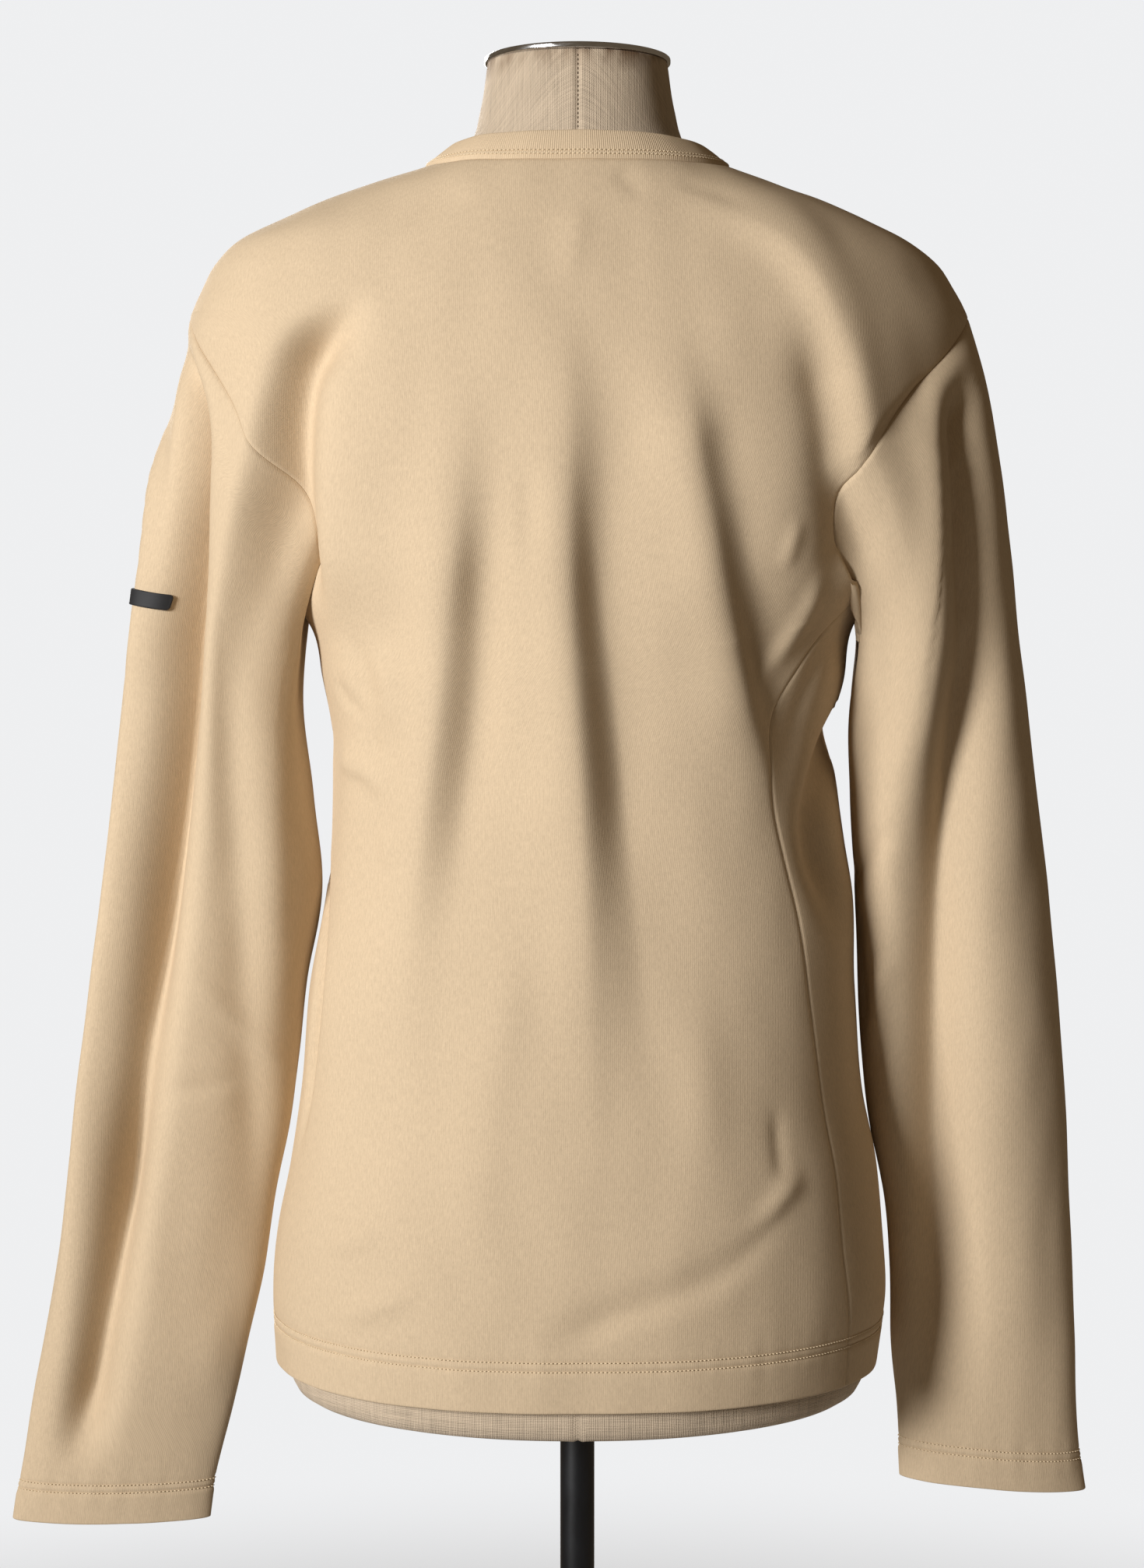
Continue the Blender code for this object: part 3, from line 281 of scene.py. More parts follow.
# The narrower creases between them, which the creases setting makes deeper or flatter
TORSO_CREASES = [
    # the back: beside the shoulder folds, then neck, waist, side seam and hem
    on_back([(-0.116, 1.295), (-0.129, 1.262), (-0.135, 1.236), (-0.139, 1.204), (-0.146, 1.145)],
            -0.009, 0.018, 0.0085, 0.35, 0.1),
    on_back([(-0.063, 1.250), (-0.071, 1.207), (-0.081, 1.160), (-0.098, 1.091), (-0.112, 1.035)],
            -0.0036, 0.011, 0.022, 0.3, 0.35),
    on_back([(-0.189, 1.259), (-0.170, 1.241), (-0.155, 1.225), (-0.144, 1.206)],
            -0.0024, 0.004, 0.005, 0.2, 0.1),
    on_back([(0.164, 1.264), (0.170, 1.225), (0.171, 1.190), (0.171, 1.150)],
            0.006, 0.014, 0.009, 0.4, 0.1),
    on_back([(0.134, 1.075), (0.136, 1.020), (0.139, 0.960), (0.145, 0.890), (0.153, 0.830)],
            -0.006, 0.005, 0.006, 0.2, 0.3),
    on_back([(0.026, 1.215), (0.025, 1.180), (0.025, 1.140)], -0.0012, 0.006, 0.008, 0.4, 0.5),
    on_back([(0.034, 1.250), (0.033, 1.160), (0.040, 1.060), (0.046, 0.960)],
            0.0014, 0.012, 0.012, 0.4, 0.5),
    on_back([(-0.002, 1.346), (0.002, 1.322), (0.008, 1.285)], 0.001, 0.01, 0.006, 0.3, 0.5),
    on_back([(-0.018, 1.364), (-0.028, 1.355), (-0.036, 1.343)], -0.001, 0.006, 0.008, 0.3, 0.5),
    on_back([(-0.048, 1.357), (-0.072, 1.350), (-0.094, 1.341)], -0.0009, 0.005, 0.007, 0.3, 0.5),
    on_back([(0.052, 1.352), (0.078, 1.341), (0.104, 1.322)], -0.001, 0.006, 0.008, 0.3, 0.5),
    on_back([(0.131, 1.096), (0.121, 1.085), (0.108, 1.074)], -0.0016, 0.0042, 0.0052, 0.25, 0.5),
    on_back([(0.131, 1.053), (0.116, 1.051), (0.104, 1.043), (0.092, 1.038)],
            0.0032, 0.006, 0.009, 0.2, 0.6),
    on_back([(0.108, 1.072), (0.106, 1.063), (0.104, 1.054)], -0.001, 0.004, 0.004, 0.4, 0.4),
    on_back([(0.121, 1.128), (0.113, 1.100), (0.106, 1.076)], -0.0022, 0.009, 0.008, 0.35, 0.5),
    on_back([(0.102, 1.120), (0.098, 1.090), (0.093, 1.064)], 0.002, 0.01, 0.008, 0.4, 0.4),
    on_back([(0.102, 1.024), (0.099, 1.008), (0.097, 0.996)], 0.0012, 0.006, 0.006, 0.4, 0.4),
    on_back([(-0.131, 1.158), (-0.118, 1.130), (-0.104, 1.108), (-0.090, 1.088)],
            0.0026, 0.006, 0.007, 0.25, 0.5),
    on_back([(-0.116, 1.184), (-0.111, 1.168), (-0.106, 1.152)], 0.0014, 0.005, 0.005, 0.4, 0.4),
    on_back([(-0.132, 1.118), (-0.120, 1.090), (-0.108, 1.050)], -0.0016, 0.006, 0.006, 0.3, 0.4),
    on_back([(-0.076, 0.803), (-0.099, 0.820), (-0.108, 0.829), (-0.121, 0.841)],
            0.0024, 0.006, 0.0062, 0.4, 0.3),
    on_back([(-0.104, 0.878), (-0.105, 0.855), (-0.107, 0.834)], -0.0012, 0.0045, 0.0052, 0.4, 0.3),
    on_back([(0.026, 0.754), (0.001, 0.762), (-0.023, 0.772), (-0.056, 0.783), (-0.084, 0.797),
             (-0.116, 0.832)], -0.0028, 0.0075, 0.0105, 0.35, 0.3),
    on_back([(0.130, 0.761), (0.102, 0.772), (0.078, 0.783)], 0.0022, 0.006, 0.008, 0.3, 0.5),
    on_back([(0.134, 0.798), (0.117, 0.803), (0.103, 0.808)], 0.0016, 0.005, 0.006, 0.3, 0.5),
    on_back([(0.036, 1.000), (0.040, 0.920), (0.050, 0.840), (0.060, 0.780)],
            0.0022, 0.018, 0.014, 0.4, 0.5),
    on_back([(-0.060, 0.960), (-0.066, 0.880), (-0.070, 0.800)], 0.0022, 0.018, 0.014, 0.4, 0.5),
    # the front, chest to hem
    on_front([(0.076, 1.215), (0.088, 1.120), (0.088, 1.000), (0.092, 0.900)],
             -0.0034, 0.012, 0.02, 0.35, 0.4),
    on_front([(-0.078, 1.220), (-0.094, 1.110), (-0.104, 1.000), (-0.108, 0.900)],
             -0.0034, 0.02, 0.012, 0.35, 0.4),
    on_front([(0.128, 1.262), (0.144, 1.220), (0.150, 1.160)], -0.007, 0.01, 0.014, 0.3, 0.15),
    on_front([(-0.126, 1.264), (-0.143, 1.222), (-0.150, 1.160)], -0.007, 0.014, 0.01, 0.3, 0.15),
    on_front([(0.100, 1.200), (0.080, 1.150), (0.050, 1.110)], 0.0024, 0.01, 0.013, 0.4, 0.5),
    on_front([(-0.104, 1.195), (-0.082, 1.140), (-0.054, 1.095)], 0.0026, 0.012, 0.01, 0.4, 0.5),
    on_front([(0.010, 1.160), (0.004, 1.040), (0.002, 0.900)], -0.003, 0.022, 0.018, 0.4, 0.5),
    on_front([(0.122, 1.080), (0.102, 1.050), (0.084, 1.028)], -0.0024, 0.006, 0.007, 0.3, 0.6),
    on_front([(0.120, 1.040), (0.100, 1.012), (0.086, 0.985)], 0.0024, 0.006, 0.008, 0.3, 0.6),
    on_front([(-0.124, 1.060), (-0.104, 1.035), (-0.086, 1.018)], 0.0026, 0.007, 0.007, 0.3, 0.6),
    on_front([(-0.120, 1.024), (-0.102, 1.004), (-0.088, 0.980)], -0.0018, 0.006, 0.006, 0.3, 0.6),
    on_front([(-0.030, 0.960), (-0.036, 0.880), (-0.044, 0.790)], 0.0024, 0.015, 0.012, 0.4, 0.5),
    on_front([(0.110, 0.900), (0.104, 0.840), (0.100, 0.780)], -0.0024, 0.012, 0.012, 0.4, 0.4),
    on_front([(0.060, 0.762), (0.020, 0.775), (-0.020, 0.796)], -0.002, 0.006, 0.008, 0.4, 0.5),
]
SLEEVE_CREASES = {
    1: [  # beside the long fold, then the elbow and the forearm
        on_back([(0.219, 1.262), (0.225, 1.210), (0.232, 1.152), (0.240, 1.085), (0.248, 1.021),
                 (0.260, 0.940), (0.273, 0.850), (0.285, 0.770), (0.297, 0.690)],
                0.0085, 0.007, 0.01, 0.15, 0.3),
        on_back([(0.240, 0.900), (0.251, 0.837), (0.261, 0.775), (0.272, 0.710), (0.284, 0.650)],
                -0.02, 0.01, 0.013, 0.4, 0.22),
        on_back([(0.190, 1.190), (0.189, 1.120), (0.187, 1.050), (0.184, 1.000), (0.182, 0.950),
                 (0.181, 0.900), (0.180, 0.857), (0.183, 0.808), (0.187, 0.760)],
                -0.0036, 0.012, 0.0095, 0.2, 0.3),
        on_back([(0.216, 0.940), (0.188, 0.910), (0.157, 0.873)], 0.001, 0.006, 0.007, 0.3, 0.3),
        on_back([(0.238, 0.868), (0.206, 0.873), (0.176, 0.878)], -0.001, 0.005, 0.006, 0.3, 0.4),
        on_back([(0.196, 0.760), (0.204, 0.720), (0.214, 0.680)], 0.0014, 0.012, 0.01, 0.4, 0.5),
        on_front([(0.178, 1.190), (0.180, 1.080), (0.180, 0.960)], 0.004, 0.014, 0.012, 0.3, 0.4),
        on_front([(0.160, 1.035), (0.184, 1.018), (0.208, 1.008)], -0.003, 0.007, 0.008, 0.2, 0.5),
        on_front([(0.158, 0.992), (0.182, 0.984), (0.212, 0.984)], 0.0026, 0.007, 0.008, 0.2, 0.5),
        on_front([(0.162, 0.955), (0.186, 0.945), (0.214, 0.940)], -0.0022, 0.007, 0.008, 0.2, 0.5),
    ],
    -1: [  # across the long fold, then the elbow and the forearm
        on_back([(-0.217, 1.228), (-0.208, 1.208), (-0.200, 1.190)], 0.0024, 0.005, 0.006, 0.3, 0.3),
        on_back([(-0.214, 1.194), (-0.204, 1.170), (-0.196, 1.146)], -0.0018, 0.005, 0.007, 0.3, 0.4),
        on_back([(-0.222, 1.136), (-0.210, 1.111), (-0.202, 1.084)], 0.0018, 0.006, 0.006, 0.3, 0.4),
        on_back([(-0.174, 1.024), (-0.162, 1.000), (-0.156, 0.982)], -0.003, 0.006, 0.008, 0.3, 0.2),
        on_back([(-0.172, 0.950), (-0.168, 0.918), (-0.166, 0.882)], 0.0026, 0.006, 0.006, 0.3, 0.4),
        on_back([(-0.160, 0.975), (-0.160, 0.940), (-0.164, 0.900)], -0.0022, 0.005, 0.005, 0.3, 0.3),
        on_back([(-0.232, 1.000), (-0.240, 0.900), (-0.246, 0.780), (-0.250, 0.690)],
                0.0024, 0.02, 0.018, 0.4, 0.4),
        on_front([(-0.176, 1.190), (-0.178, 1.080), (-0.176, 0.960)], 0.004, 0.012, 0.014, 0.3, 0.4),
        on_front([(-0.160, 1.028), (-0.184, 1.012), (-0.210, 1.006)], -0.0028, 0.008, 0.007, 0.2, 0.5),
        on_front([(-0.162, 0.985), (-0.188, 0.978), (-0.214, 0.980)], 0.0026, 0.008, 0.007, 0.2, 0.5),
        on_front([(-0.164, 0.946), (-0.190, 0.938), (-0.220, 0.936)], -0.0022, 0.008, 0.007, 0.2, 0.5),
    ],
}

# A gentle wavering of all the cloth: pairs of its height and the size of its waves
TORSO_WAVER = ((0.0011, 0.060), (0.0006, 0.022))
SLEEVE_WAVER = ((0.0012, 0.050), (0.0006, 0.020))
WAVER_DRAWN_OUT = 2.2    # how much longer the waves are up the body than across it
TORSO_SEED = 3.7
SLEEVE_SEED = 8.1
HEM_SEED = 2.0
CUFF_SEED = 5.0

# ---------------------------------------------------------------- how finely each piece is divided
# Spacing of points away from seams: up the cloth, across the back and front, up the neckband and form
GRID = 0.0029
BACK_GRID = 0.0026
FRONT_GRID = 0.0034
BAND_GRID = 0.0016
FORM_GRID = 0.0045
# Lengths of the stretches that are divided
SIDE_LENGTH = 0.409
ARMHOLE_LENGTH = 0.19
SHOULDER_LENGTH = 0.145
BACK_WIDTH = 0.44
FRONT_WIDTH = 0.50
SLEEVE_LENGTH = 0.62
FORM_LENGTH = 0.73
# Distances from a seam or an edge at which there is a row of points
SEAM_STEPS = (0.0005, 0.0011, 0.0019, 0.0031)
HEM_STEPS = (0.0004, 0.0009, 0.0017, 0.0032, 0.0060, 0.0095, 0.0130, 0.0165, 0.0190, 0.0203, 0.0212,
             0.0220, 0.0228, 0.0237, 0.0247, 0.0257, 0.0265, 0.0273, 0.0282, 0.0295, 0.0315)
CUFF_STEPS = (0.0004, 0.0009, 0.0017, 0.0032, 0.0060, 0.0095, 0.0130, 0.0155, 0.0166, 0.0174, 0.0182,
              0.0190, 0.0200, 0.0211, 0.0220, 0.0228, 0.0236, 0.0246, 0.0262, 0.0285)
BAND_SEAM_STEPS = (0.0005, 0.0011, 0.0018, 0.0030)
BAND_EDGE_STEPS = (0.0003, 0.0007, 0.0013, 0.0021)
FORM_BOTTOM_STEPS = (0.001, 0.0025, 0.005)
FORM_TOP_STEPS = (0.001, 0.002, 0.004)
RING_SAMPLES = 361       # along a row of a panel before its points are evened out
LINE_SAMPLES = 61        # along the line of a fold
FORM_COLUMNS = 144
FORM_SEAM_TURNS = (-0.030, -0.012, 0.012, 0.030)                 # extra columns beside its back seam
UNDERARM_TURNS = np.array([-0.024, -0.010, 0.010, 0.024])        # and beside a sleeve's underarm
FACING_STEP = 97         # every so many faces tell which side of a shell is out
# Heights of a panel's centre line where its side seam, armhole and shoulder seam start and end
BACK_MIDDLES = (HEM, 1.112, 1.285, NECK - BACK_NECK_DROP)
FRONT_MIDDLES = (HEM, 1.095, 1.225, NECK - FRONT_NECK_DROP)
ROW_BOW = 2.2            # power by which a panel's rows bow towards the side seams
ROW_TURN_FROM = 0.19     # share up the armhole from which they go over into a smooth step
ROW_TURN_OVER = 0.28

# ---------------------------------------------------------------- relief and stitches
SEAM_DEPTH = 0.0006
SEAM_REACH = 0.0012
SEAM_BLEND = 0.0050      # how far from a seam its shared normals reach
EDGE_ROUNDNESS = 0.97    # 1 is a full half circle
HEM_ROWS = (0.0220, 0.0268)      # twin-needle rows above the hem
CUFF_ROWS = (0.0182, 0.0228)     # and above the cuffs
BAND_ROWS = (0.0024, 0.0046)     # rows above the neckband's seam
BAND_SOFTENING = 40      # times the neckband's seam line is smoothed
BAND_COURSE_STEP = 6     # points to each side that give its direction
RIB_POINTS = 4           # points around each rib
RIB_FADE_SEAM = 0.0015   # the ribs fade over this height at the seam, and over this at the edge
RIB_FADE_EDGE = 0.0008

# Relief of a turned-up edge: height and reach of its fullness, stitches, ridge and puckers
FULLNESS, FULLNESS_REACH = 0.0006, 0.004
DRAWN_IN, DRAWN_IN_REACH = 0.00045, 0.0011
RIDGE, RIDGE_REACH = 0.00035, 0.0014
PUCKER, PUCKER_REACH, PUCKER_LENGTH = 0.00035, 0.012, 0.007
PUCKER_START = 0.008     # puckers grow over this distance from a side seam

# Low ridges (rise > 0) and grooves: distance from the seam or edge, rise and reach
BAND_RIDGES = ((0.0, -0.0007, 0.0012), (0.0032, 0.00045, 0.0010), (0.0052, -0.0003, 0.0010))
TAB_RIDGES = ((0.0008, 0.00012, 0.0003),)
FORM_RIDGES = ((0.0, -0.0006, 0.0012), (0.003, 0.0003, 0.0016))

# A stitch at five places along it: share of its length, lift and thickness in thread radii
STITCH = np.array([
    (0.0, -1.3, 0.45), (0.12, -0.1, 0.95), (0.5, 0.45, 1.0), (0.88, -0.1, 0.95), (1.0, -1.3, 0.45),
])
STITCH_SIDES = 6
STITCH_LIFT = 0.00005    # of the twin-needle rows above the cloth
BAND_STITCH_LIFT = 0.0008
BAND_STITCH_PITCH = 0.0023
BAND_STITCH_LENGTH = 0.0017
BAND_PATH_POINTS = 720
FORM_STITCH_PITCH = 0.0024
FORM_STITCH_LENGTH = 0.0014
FORM_THREAD_RADIUS = 0.00022
FORM_SEAM_HEIGHTS = np.linspace(1.366, 1.4285, 60)   # the bare stretch of the form's back seam
FORM_SEAM_SUNK = 0.0003

# ---------------------------------------------------------------- stage
PICTURE_HALF_HEIGHT = 1007       # of the photograph, in pixels
PICTURE_FOCUS = 3600             # the camera's distance from such a picture, in pixels
CAMERA_ASIDE = 0.003             # towards the wearer's left
KEY_LIGHT_AT = (2.18, 2.34, 1.68)
KEY_LIGHT_SIZE = 0.9
FILL_LIGHT_AT = (0.9, -2.6, 1.9)
FILL_LIGHT_SIZE = 1.2
LIGHT_AIM = (0, 0, 1.14)
LIGHT_SPREAD = math.radians(60)
AMBIENT_COLOUR = (1.0, 0.76, 0.50)
FLOOR_SIDES = 96


def graded(length, step, near_start=(), near_end=()):
    """Shares of a length, a step apart and closer at these distances from its two ends."""
    start, end = np.array([0.0, *near_start]), length - np.array([0.0, *near_end])[::-1]
    even = np.linspace(start[-1], end[0], max(round((end[0] - start[-1]) / step), 1) + 1)
    return np.concatenate([start, even[1:-1], end]) / length


# ---------------------------------------------------------------- curves and sections
def table_at(table, height):
    """Each column of a table of sections at these heights, on one smooth cubic."""
    knots, values = table[:, 0], table[:, 1:]
    slopes = np.gradient(values, knots, axis=0)
    row = np.clip(np.searchsorted(knots, height, side="right") - 1, 0, len(knots) - 2)
    span = (knots[row + 1] - knots[row])[..., None]
    part = np.clip((np.asarray(height)[..., None] - knots[row][..., None]) / span, 0, 1)
    low, high = values[row], values[row + 1]
    smooth = part * part * (3 - 2 * part)
    lead = part * (1 - part) ** 2 * slopes[row] - part * part * (1 - part) * slopes[row + 1]
    return np.moveaxis(low + (high - low) * smooth + span * lead, -1, 0)


def through(points, count):
    """A smooth curve through these points, evenly spread over their numbers."""
    points = np.asarray(points, float)
    knots = np.arange(len(points), dtype=float)
    table = np.column_stack([knots, points])
    return table_at(table, np.linspace(0, knots[-1], count)).T


def signed_power(value, power):
    return np.sign(value) * np.abs(value) ** power


def unit(vectors):
    return vectors / np.maximum(np.linalg.norm(vectors, axis=-1, keepdims=True), 1e-9)


def smooth_step(value):
    value = np.clip(value, 0, 1)
    return value * value * (3 - 2 * value)


def bump(distance, width):
    return np.exp(-((distance / width) ** 2))


def ridges(distance, rows):
    """The relief of some ridges and grooves at this distance from a seam or an edge."""
    return sum(rise * bump(distance - place, reach) for place, rise, reach in rows)


def places(x, y, z):
    return np.stack(np.broadcast_arrays(x, y, z), axis=-1)


def turns_round(count):
    """Evenly spaced turns of a full circle, without the last one, which is the first again."""
    return np.linspace(0, 2 * math.pi, count + 1)[:-1]


def looped(ring, axis=0):
    """A ring's values with the first one again at the end."""
    return np.concatenate([ring, ring.take([0], axis=axis)], axis=axis)


def read_off(wanted, knots, rows, **period):
    """Rows of x, y and z read off between knots."""
    return np.stack([np.interp(wanted, knots, rows[:, i], **period) for i in range(3)], axis=-1)


def oval(turn, left, right, back, front, power):
    """x and y of a rounded section: turn is 0 at centre back and a quarter turn at the wearer's left."""
    across, along = np.sin(turn), np.cos(turn)
    return (np.where(across > 0, left, right) * signed_power(across, 2 / power),
            np.where(along > 0, back, front) * signed_power(along, 2 / power))


def normals_of(surface, first, second, step_first, step_second):
    """Normals of a surface of two parameters, from four neighbours of each point."""
    along_first = surface(first + step_first, second) - surface(first - step_first, second)
    along_second = surface(first, second + step_second) - surface(first, second - step_second)
    return unit(np.cross(along_second, along_first))


def grid_normals(points, closed):
    """Normals of a grid of points whose rows run up; they face the way the grid's cross product does."""
    if closed:
        across = np.roll(points, -1, axis=1) - np.roll(points, 1, axis=1)
    else:
        across = np.gradient(points, axis=1)
    return unit(np.cross(np.gradient(points, axis=0), across))


def lengths_along(points, axis):
    """Lengths along a grid's rows (axis 1) or columns (axis 0), from the first point of each."""
    steps = np.linalg.norm(np.diff(points, axis=axis), axis=-1)
    start = np.zeros_like(steps[:1] if axis == 0 else steps[:, :1])
    return np.concatenate([start, np.cumsum(steps, axis=axis)], axis=axis)


# ---------------------------------------------------------------- folds on a surface
def fold_lift(points, normals, folds, base_at):
    """How far the folds lift each point along its normal."""
    lift = np.zeros(points.shape[:-1])
    for fold in folds:
        across, height = through(fold.line, LINE_SAMPLES).T
        path = base_at(fold.face, across, height)
        middle = path[LINE_SAMPLES // 2]
        near = np.sum((points - middle) ** 2, axis=-1) ** 0.5
        reach = np.max(np.linalg.norm(path - middle, axis=-1)) + 3 * max(fold.left, fold.right)
        chosen = near < reach
        some, facing = points[chosen], normals[chosen]
        away = some[:, None, :] - path
        nearest = np.argmin(np.sum(away * away, axis=-1), axis=-1)
        offset = some - path[nearest]
        step = np.gradient(path, axis=0)[nearest]
        length = np.linalg.norm(step, axis=-1)
        beyond = np.sum(step * offset, axis=-1) / length
        sideways = np.sum(np.cross(step, facing) * offset, axis=-1)
        distance = np.sqrt(np.maximum(np.sum(offset * offset, axis=-1) - beyond * beyond, 0))
        share = (nearest + beyond / length) / (LINE_SAMPLES - 1)
        fade = smooth_step(share / fold.fade_in) * smooth_step((1 - share) / fold.fade_out)
        width = np.where(sideways > 0, fold.left, fold.right)
        lift[chosen] += fold.rise * fade * bump(distance, width)
    return lift


def unevenness(points, waver, seed):
    """How far the cloth's gentle wavering lifts each point."""
    lift = np.zeros(points.shape[:-1])
    flat = points.reshape(-1, 3)
    for height, size in waver:
        at = (flat / (size, size, size * WAVER_DRAWN_OUT) + seed).tolist()
        lift += height * np.reshape([noise.noise(place) for place in at], lift.shape)
    return lift


# ---------------------------------------------------------------- torso
def torso_base(turn, height):
    """The torso without folds."""
    return places(*oval(turn, *table_at(TORSO, height), SECTION_POWER), height)


def turn_at(face, across, height):
    """The turn of the torso's point this far to the left, on its back or front face."""
    left, right = table_at(TORSO, height)[:2]
    reach = np.minimum(np.abs(across) / np.where(across > 0, left, right), 1)
    turn = np.arcsin(reach ** (SECTION_POWER / 2))
    return np.where(across < 0, -1, 1) * (turn if face == "back" else math.pi - turn)


def torso_at(face, across, height):
    return torso_base(turn_at(face, across, height), height)


def torso(turn, height, creases):
    points = torso_base(turn, height)
    normals = normals_of(torso_base, turn, height, step_first=math.radians(1.5), step_second=0.003)
    lift = fold_lift(points, normals, TORSO_FOLDS, torso_at)
    lift += creases * fold_lift(points, normals, TORSO_CREASES, torso_at)
    lift += creases * unevenness(points, TORSO_WAVER, TORSO_SEED)
    return points + lift[..., None] * normals


def armhole_at(side, around):
    """Turn and height of an armhole's point, around in degrees from the shoulder by the back."""
    _, reach_back, reach_front = ARMHOLE[side]
    angle = np.radians(around)
    height = (SHOULDER + UNDERARM) / 2 + (SHOULDER - UNDERARM) / 2 * np.cos(angle)
    reach = np.where(np.sin(angle) > 0, reach_back, reach_front)
    depth = reach * np.sin(angle) * (1 - ARMHOLE_SKEW * np.cos(angle))
    back, front = table_at(TORSO, height)[2:]
    share = np.clip(depth / np.where(depth > 0, back, front), -1, 1)
    return np.arccos(signed_power(share, SECTION_POWER / 2)), height


def neckline_at(across, drop, face):
    """Turn and height of the neckline, across from -1 at the right shoulder to 1 at the left."""
    angle = across * math.pi / 2
    height = NECK - drop * np.cos(angle)
    return turn_at(face, NECK_HALF * np.sin(angle), height), height


# Shares up each stretch of a panel's edge: side seam, armhole, shoulder seam
SIDE_SHARES = graded(SIDE_LENGTH, GRID, near_start=HEM_STEPS)
ARMHOLE_SHARES = graded(ARMHOLE_LENGTH, GRID)
SHOULDER_SHARES = graded(SHOULDER_LENGTH, GRID, near_end=SEAM_STEPS)
COLUMN_SHARES = {"back": graded(BACK_WIDTH, BACK_GRID, SEAM_STEPS, SEAM_STEPS),
                 "front": graded(FRONT_WIDTH, FRONT_GRID, SEAM_STEPS, SEAM_STEPS)}
ARMHOLE_SPAN = slice(len(SIDE_SHARES) - 1, len(SIDE_SHARES) + len(ARMHOLE_SHARES) - 1)


def edge_of_panel(side, face):
    """Turn and height up one edge of a panel: side seam, armhole, then shoulder seam."""
    seam = LEFT_SEAM if side > 0 else RIGHT_SEAM
    joint = ARMHOLE[side][0]
    around = joint + ((0 if face == "back" else 360) - joint) * ARMHOLE_SHARES
    around[-1] = 0
    turns, heights = armhole_at(side, around)
    seam_heights = HEM + (heights[0] - HEM) * SIDE_SHARES[:-1]
    seam_turns = np.radians(table_at(seam, seam_heights)[0])
    climb = np.linspace(SHOULDER, NECK, RING_SAMPLES)
    half = table_at(TORSO, climb)[0 if side > 0 else 1]
    top = np.interp(-(half[0] + (NECK_HALF - half[0]) * SHOULDER_SHARES[1:]), -half, climb)
    turns = np.concatenate([seam_turns, turns, np.full(len(top), math.pi / 2)])
    return side * turns, np.concatenate([seam_heights, heights, top])


def panel_places(face):
    """Turn and height of each point of a panel, in rows from hem to neckline."""
    right_turn, right_height = edge_of_panel(-1, face)
    left_turn, left_height = edge_of_panel(1, face)
    if face == "front":
        right_turn = right_turn + 2 * math.pi
    middles = BACK_MIDDLES if face == "back" else FRONT_MIDDLES
    stretches = (SIDE_SHARES, ARMHOLE_SHARES[1:], SHOULDER_SHARES[1:])
    middle = np.concatenate([
        middles[i] + (middles[i + 1] - middles[i]) * share for i, share in enumerate(stretches)])
    up_armhole = np.concatenate([0 * SIDE_SHARES, ARMHOLE_SHARES[1:], 0 * SHOULDER_SHARES[1:] + 1])
    up_shoulder = np.concatenate([0 * SIDE_SHARES, 0 * ARMHOLE_SHARES[1:], SHOULDER_SHARES[1:]])[:, None]
    share = np.linspace(-1, 1, RING_SAMPLES)
    level = smooth_step((up_armhole - ROW_TURN_FROM) / ROW_TURN_OVER)[:, None]
    bow = (1 - level) * np.abs(share) ** ROW_BOW + level * smooth_step(np.abs(share))
    ends = np.where(share > 0, left_height[:, None], right_height[:, None])
    height = middle[:, None] + (ends - middle[:, None]) * bow
    turn = right_turn[:, None] + (left_turn - right_turn)[:, None] * (share + 1) / 2
    drop = BACK_NECK_DROP if face == "back" else FRONT_NECK_DROP
    neck_turn, neck_height = neckline_at(share, drop, face)
    if face == "front":
        neck_turn = neck_turn % (2 * math.pi)
    turn = turn + up_shoulder * (neck_turn - turn[-1])
    height = height + up_shoulder * (neck_height - height[-1])
    even = np.empty((2, len(middle), len(COLUMN_SHARES[face])))
    for row in range(len(middle)):
        length = lengths_along(torso_base(turn[row], height[row])[None], 1)[0]
        wanted = length[-1] * COLUMN_SHARES[face]
        even[:, row] = np.interp(wanted, length, turn[row]), np.interp(wanted, length, height[row])
    return even


# ---------------------------------------------------------------- sleeves
def sleeve_section(side, angle, height):
    """A point of a sleeve's hanging section: angle 0 is outermost and a quarter turn the back."""
    inner, outer, back, front = table_at(SLEEVES[side], height)
    across = (outer + inner) / 2 + (outer - inner) / 2 * signed_power(np.cos(angle), 2 / SLEEVE_POWER)
    depth = np.where(np.sin(angle) > 0, back, front) * signed_power(np.sin(angle), 2 / SLEEVE_POWER)
    return places(side * across, depth, height)


def sleeve_at(side):
    """Finds the point of a sleeve this far to the left and this high, on its back or front."""
    def at(face, across, height):
        inner, outer = table_at(SLEEVES[side], height)[:2]
        share = (side * across - (outer + inner) / 2) / ((outer - inner) / 2)
        angle = np.arccos(np.clip(signed_power(share, SLEEVE_POWER / 2), -1, 1))
        return sleeve_section(side, angle if face == "back" else -angle, height)
    return at


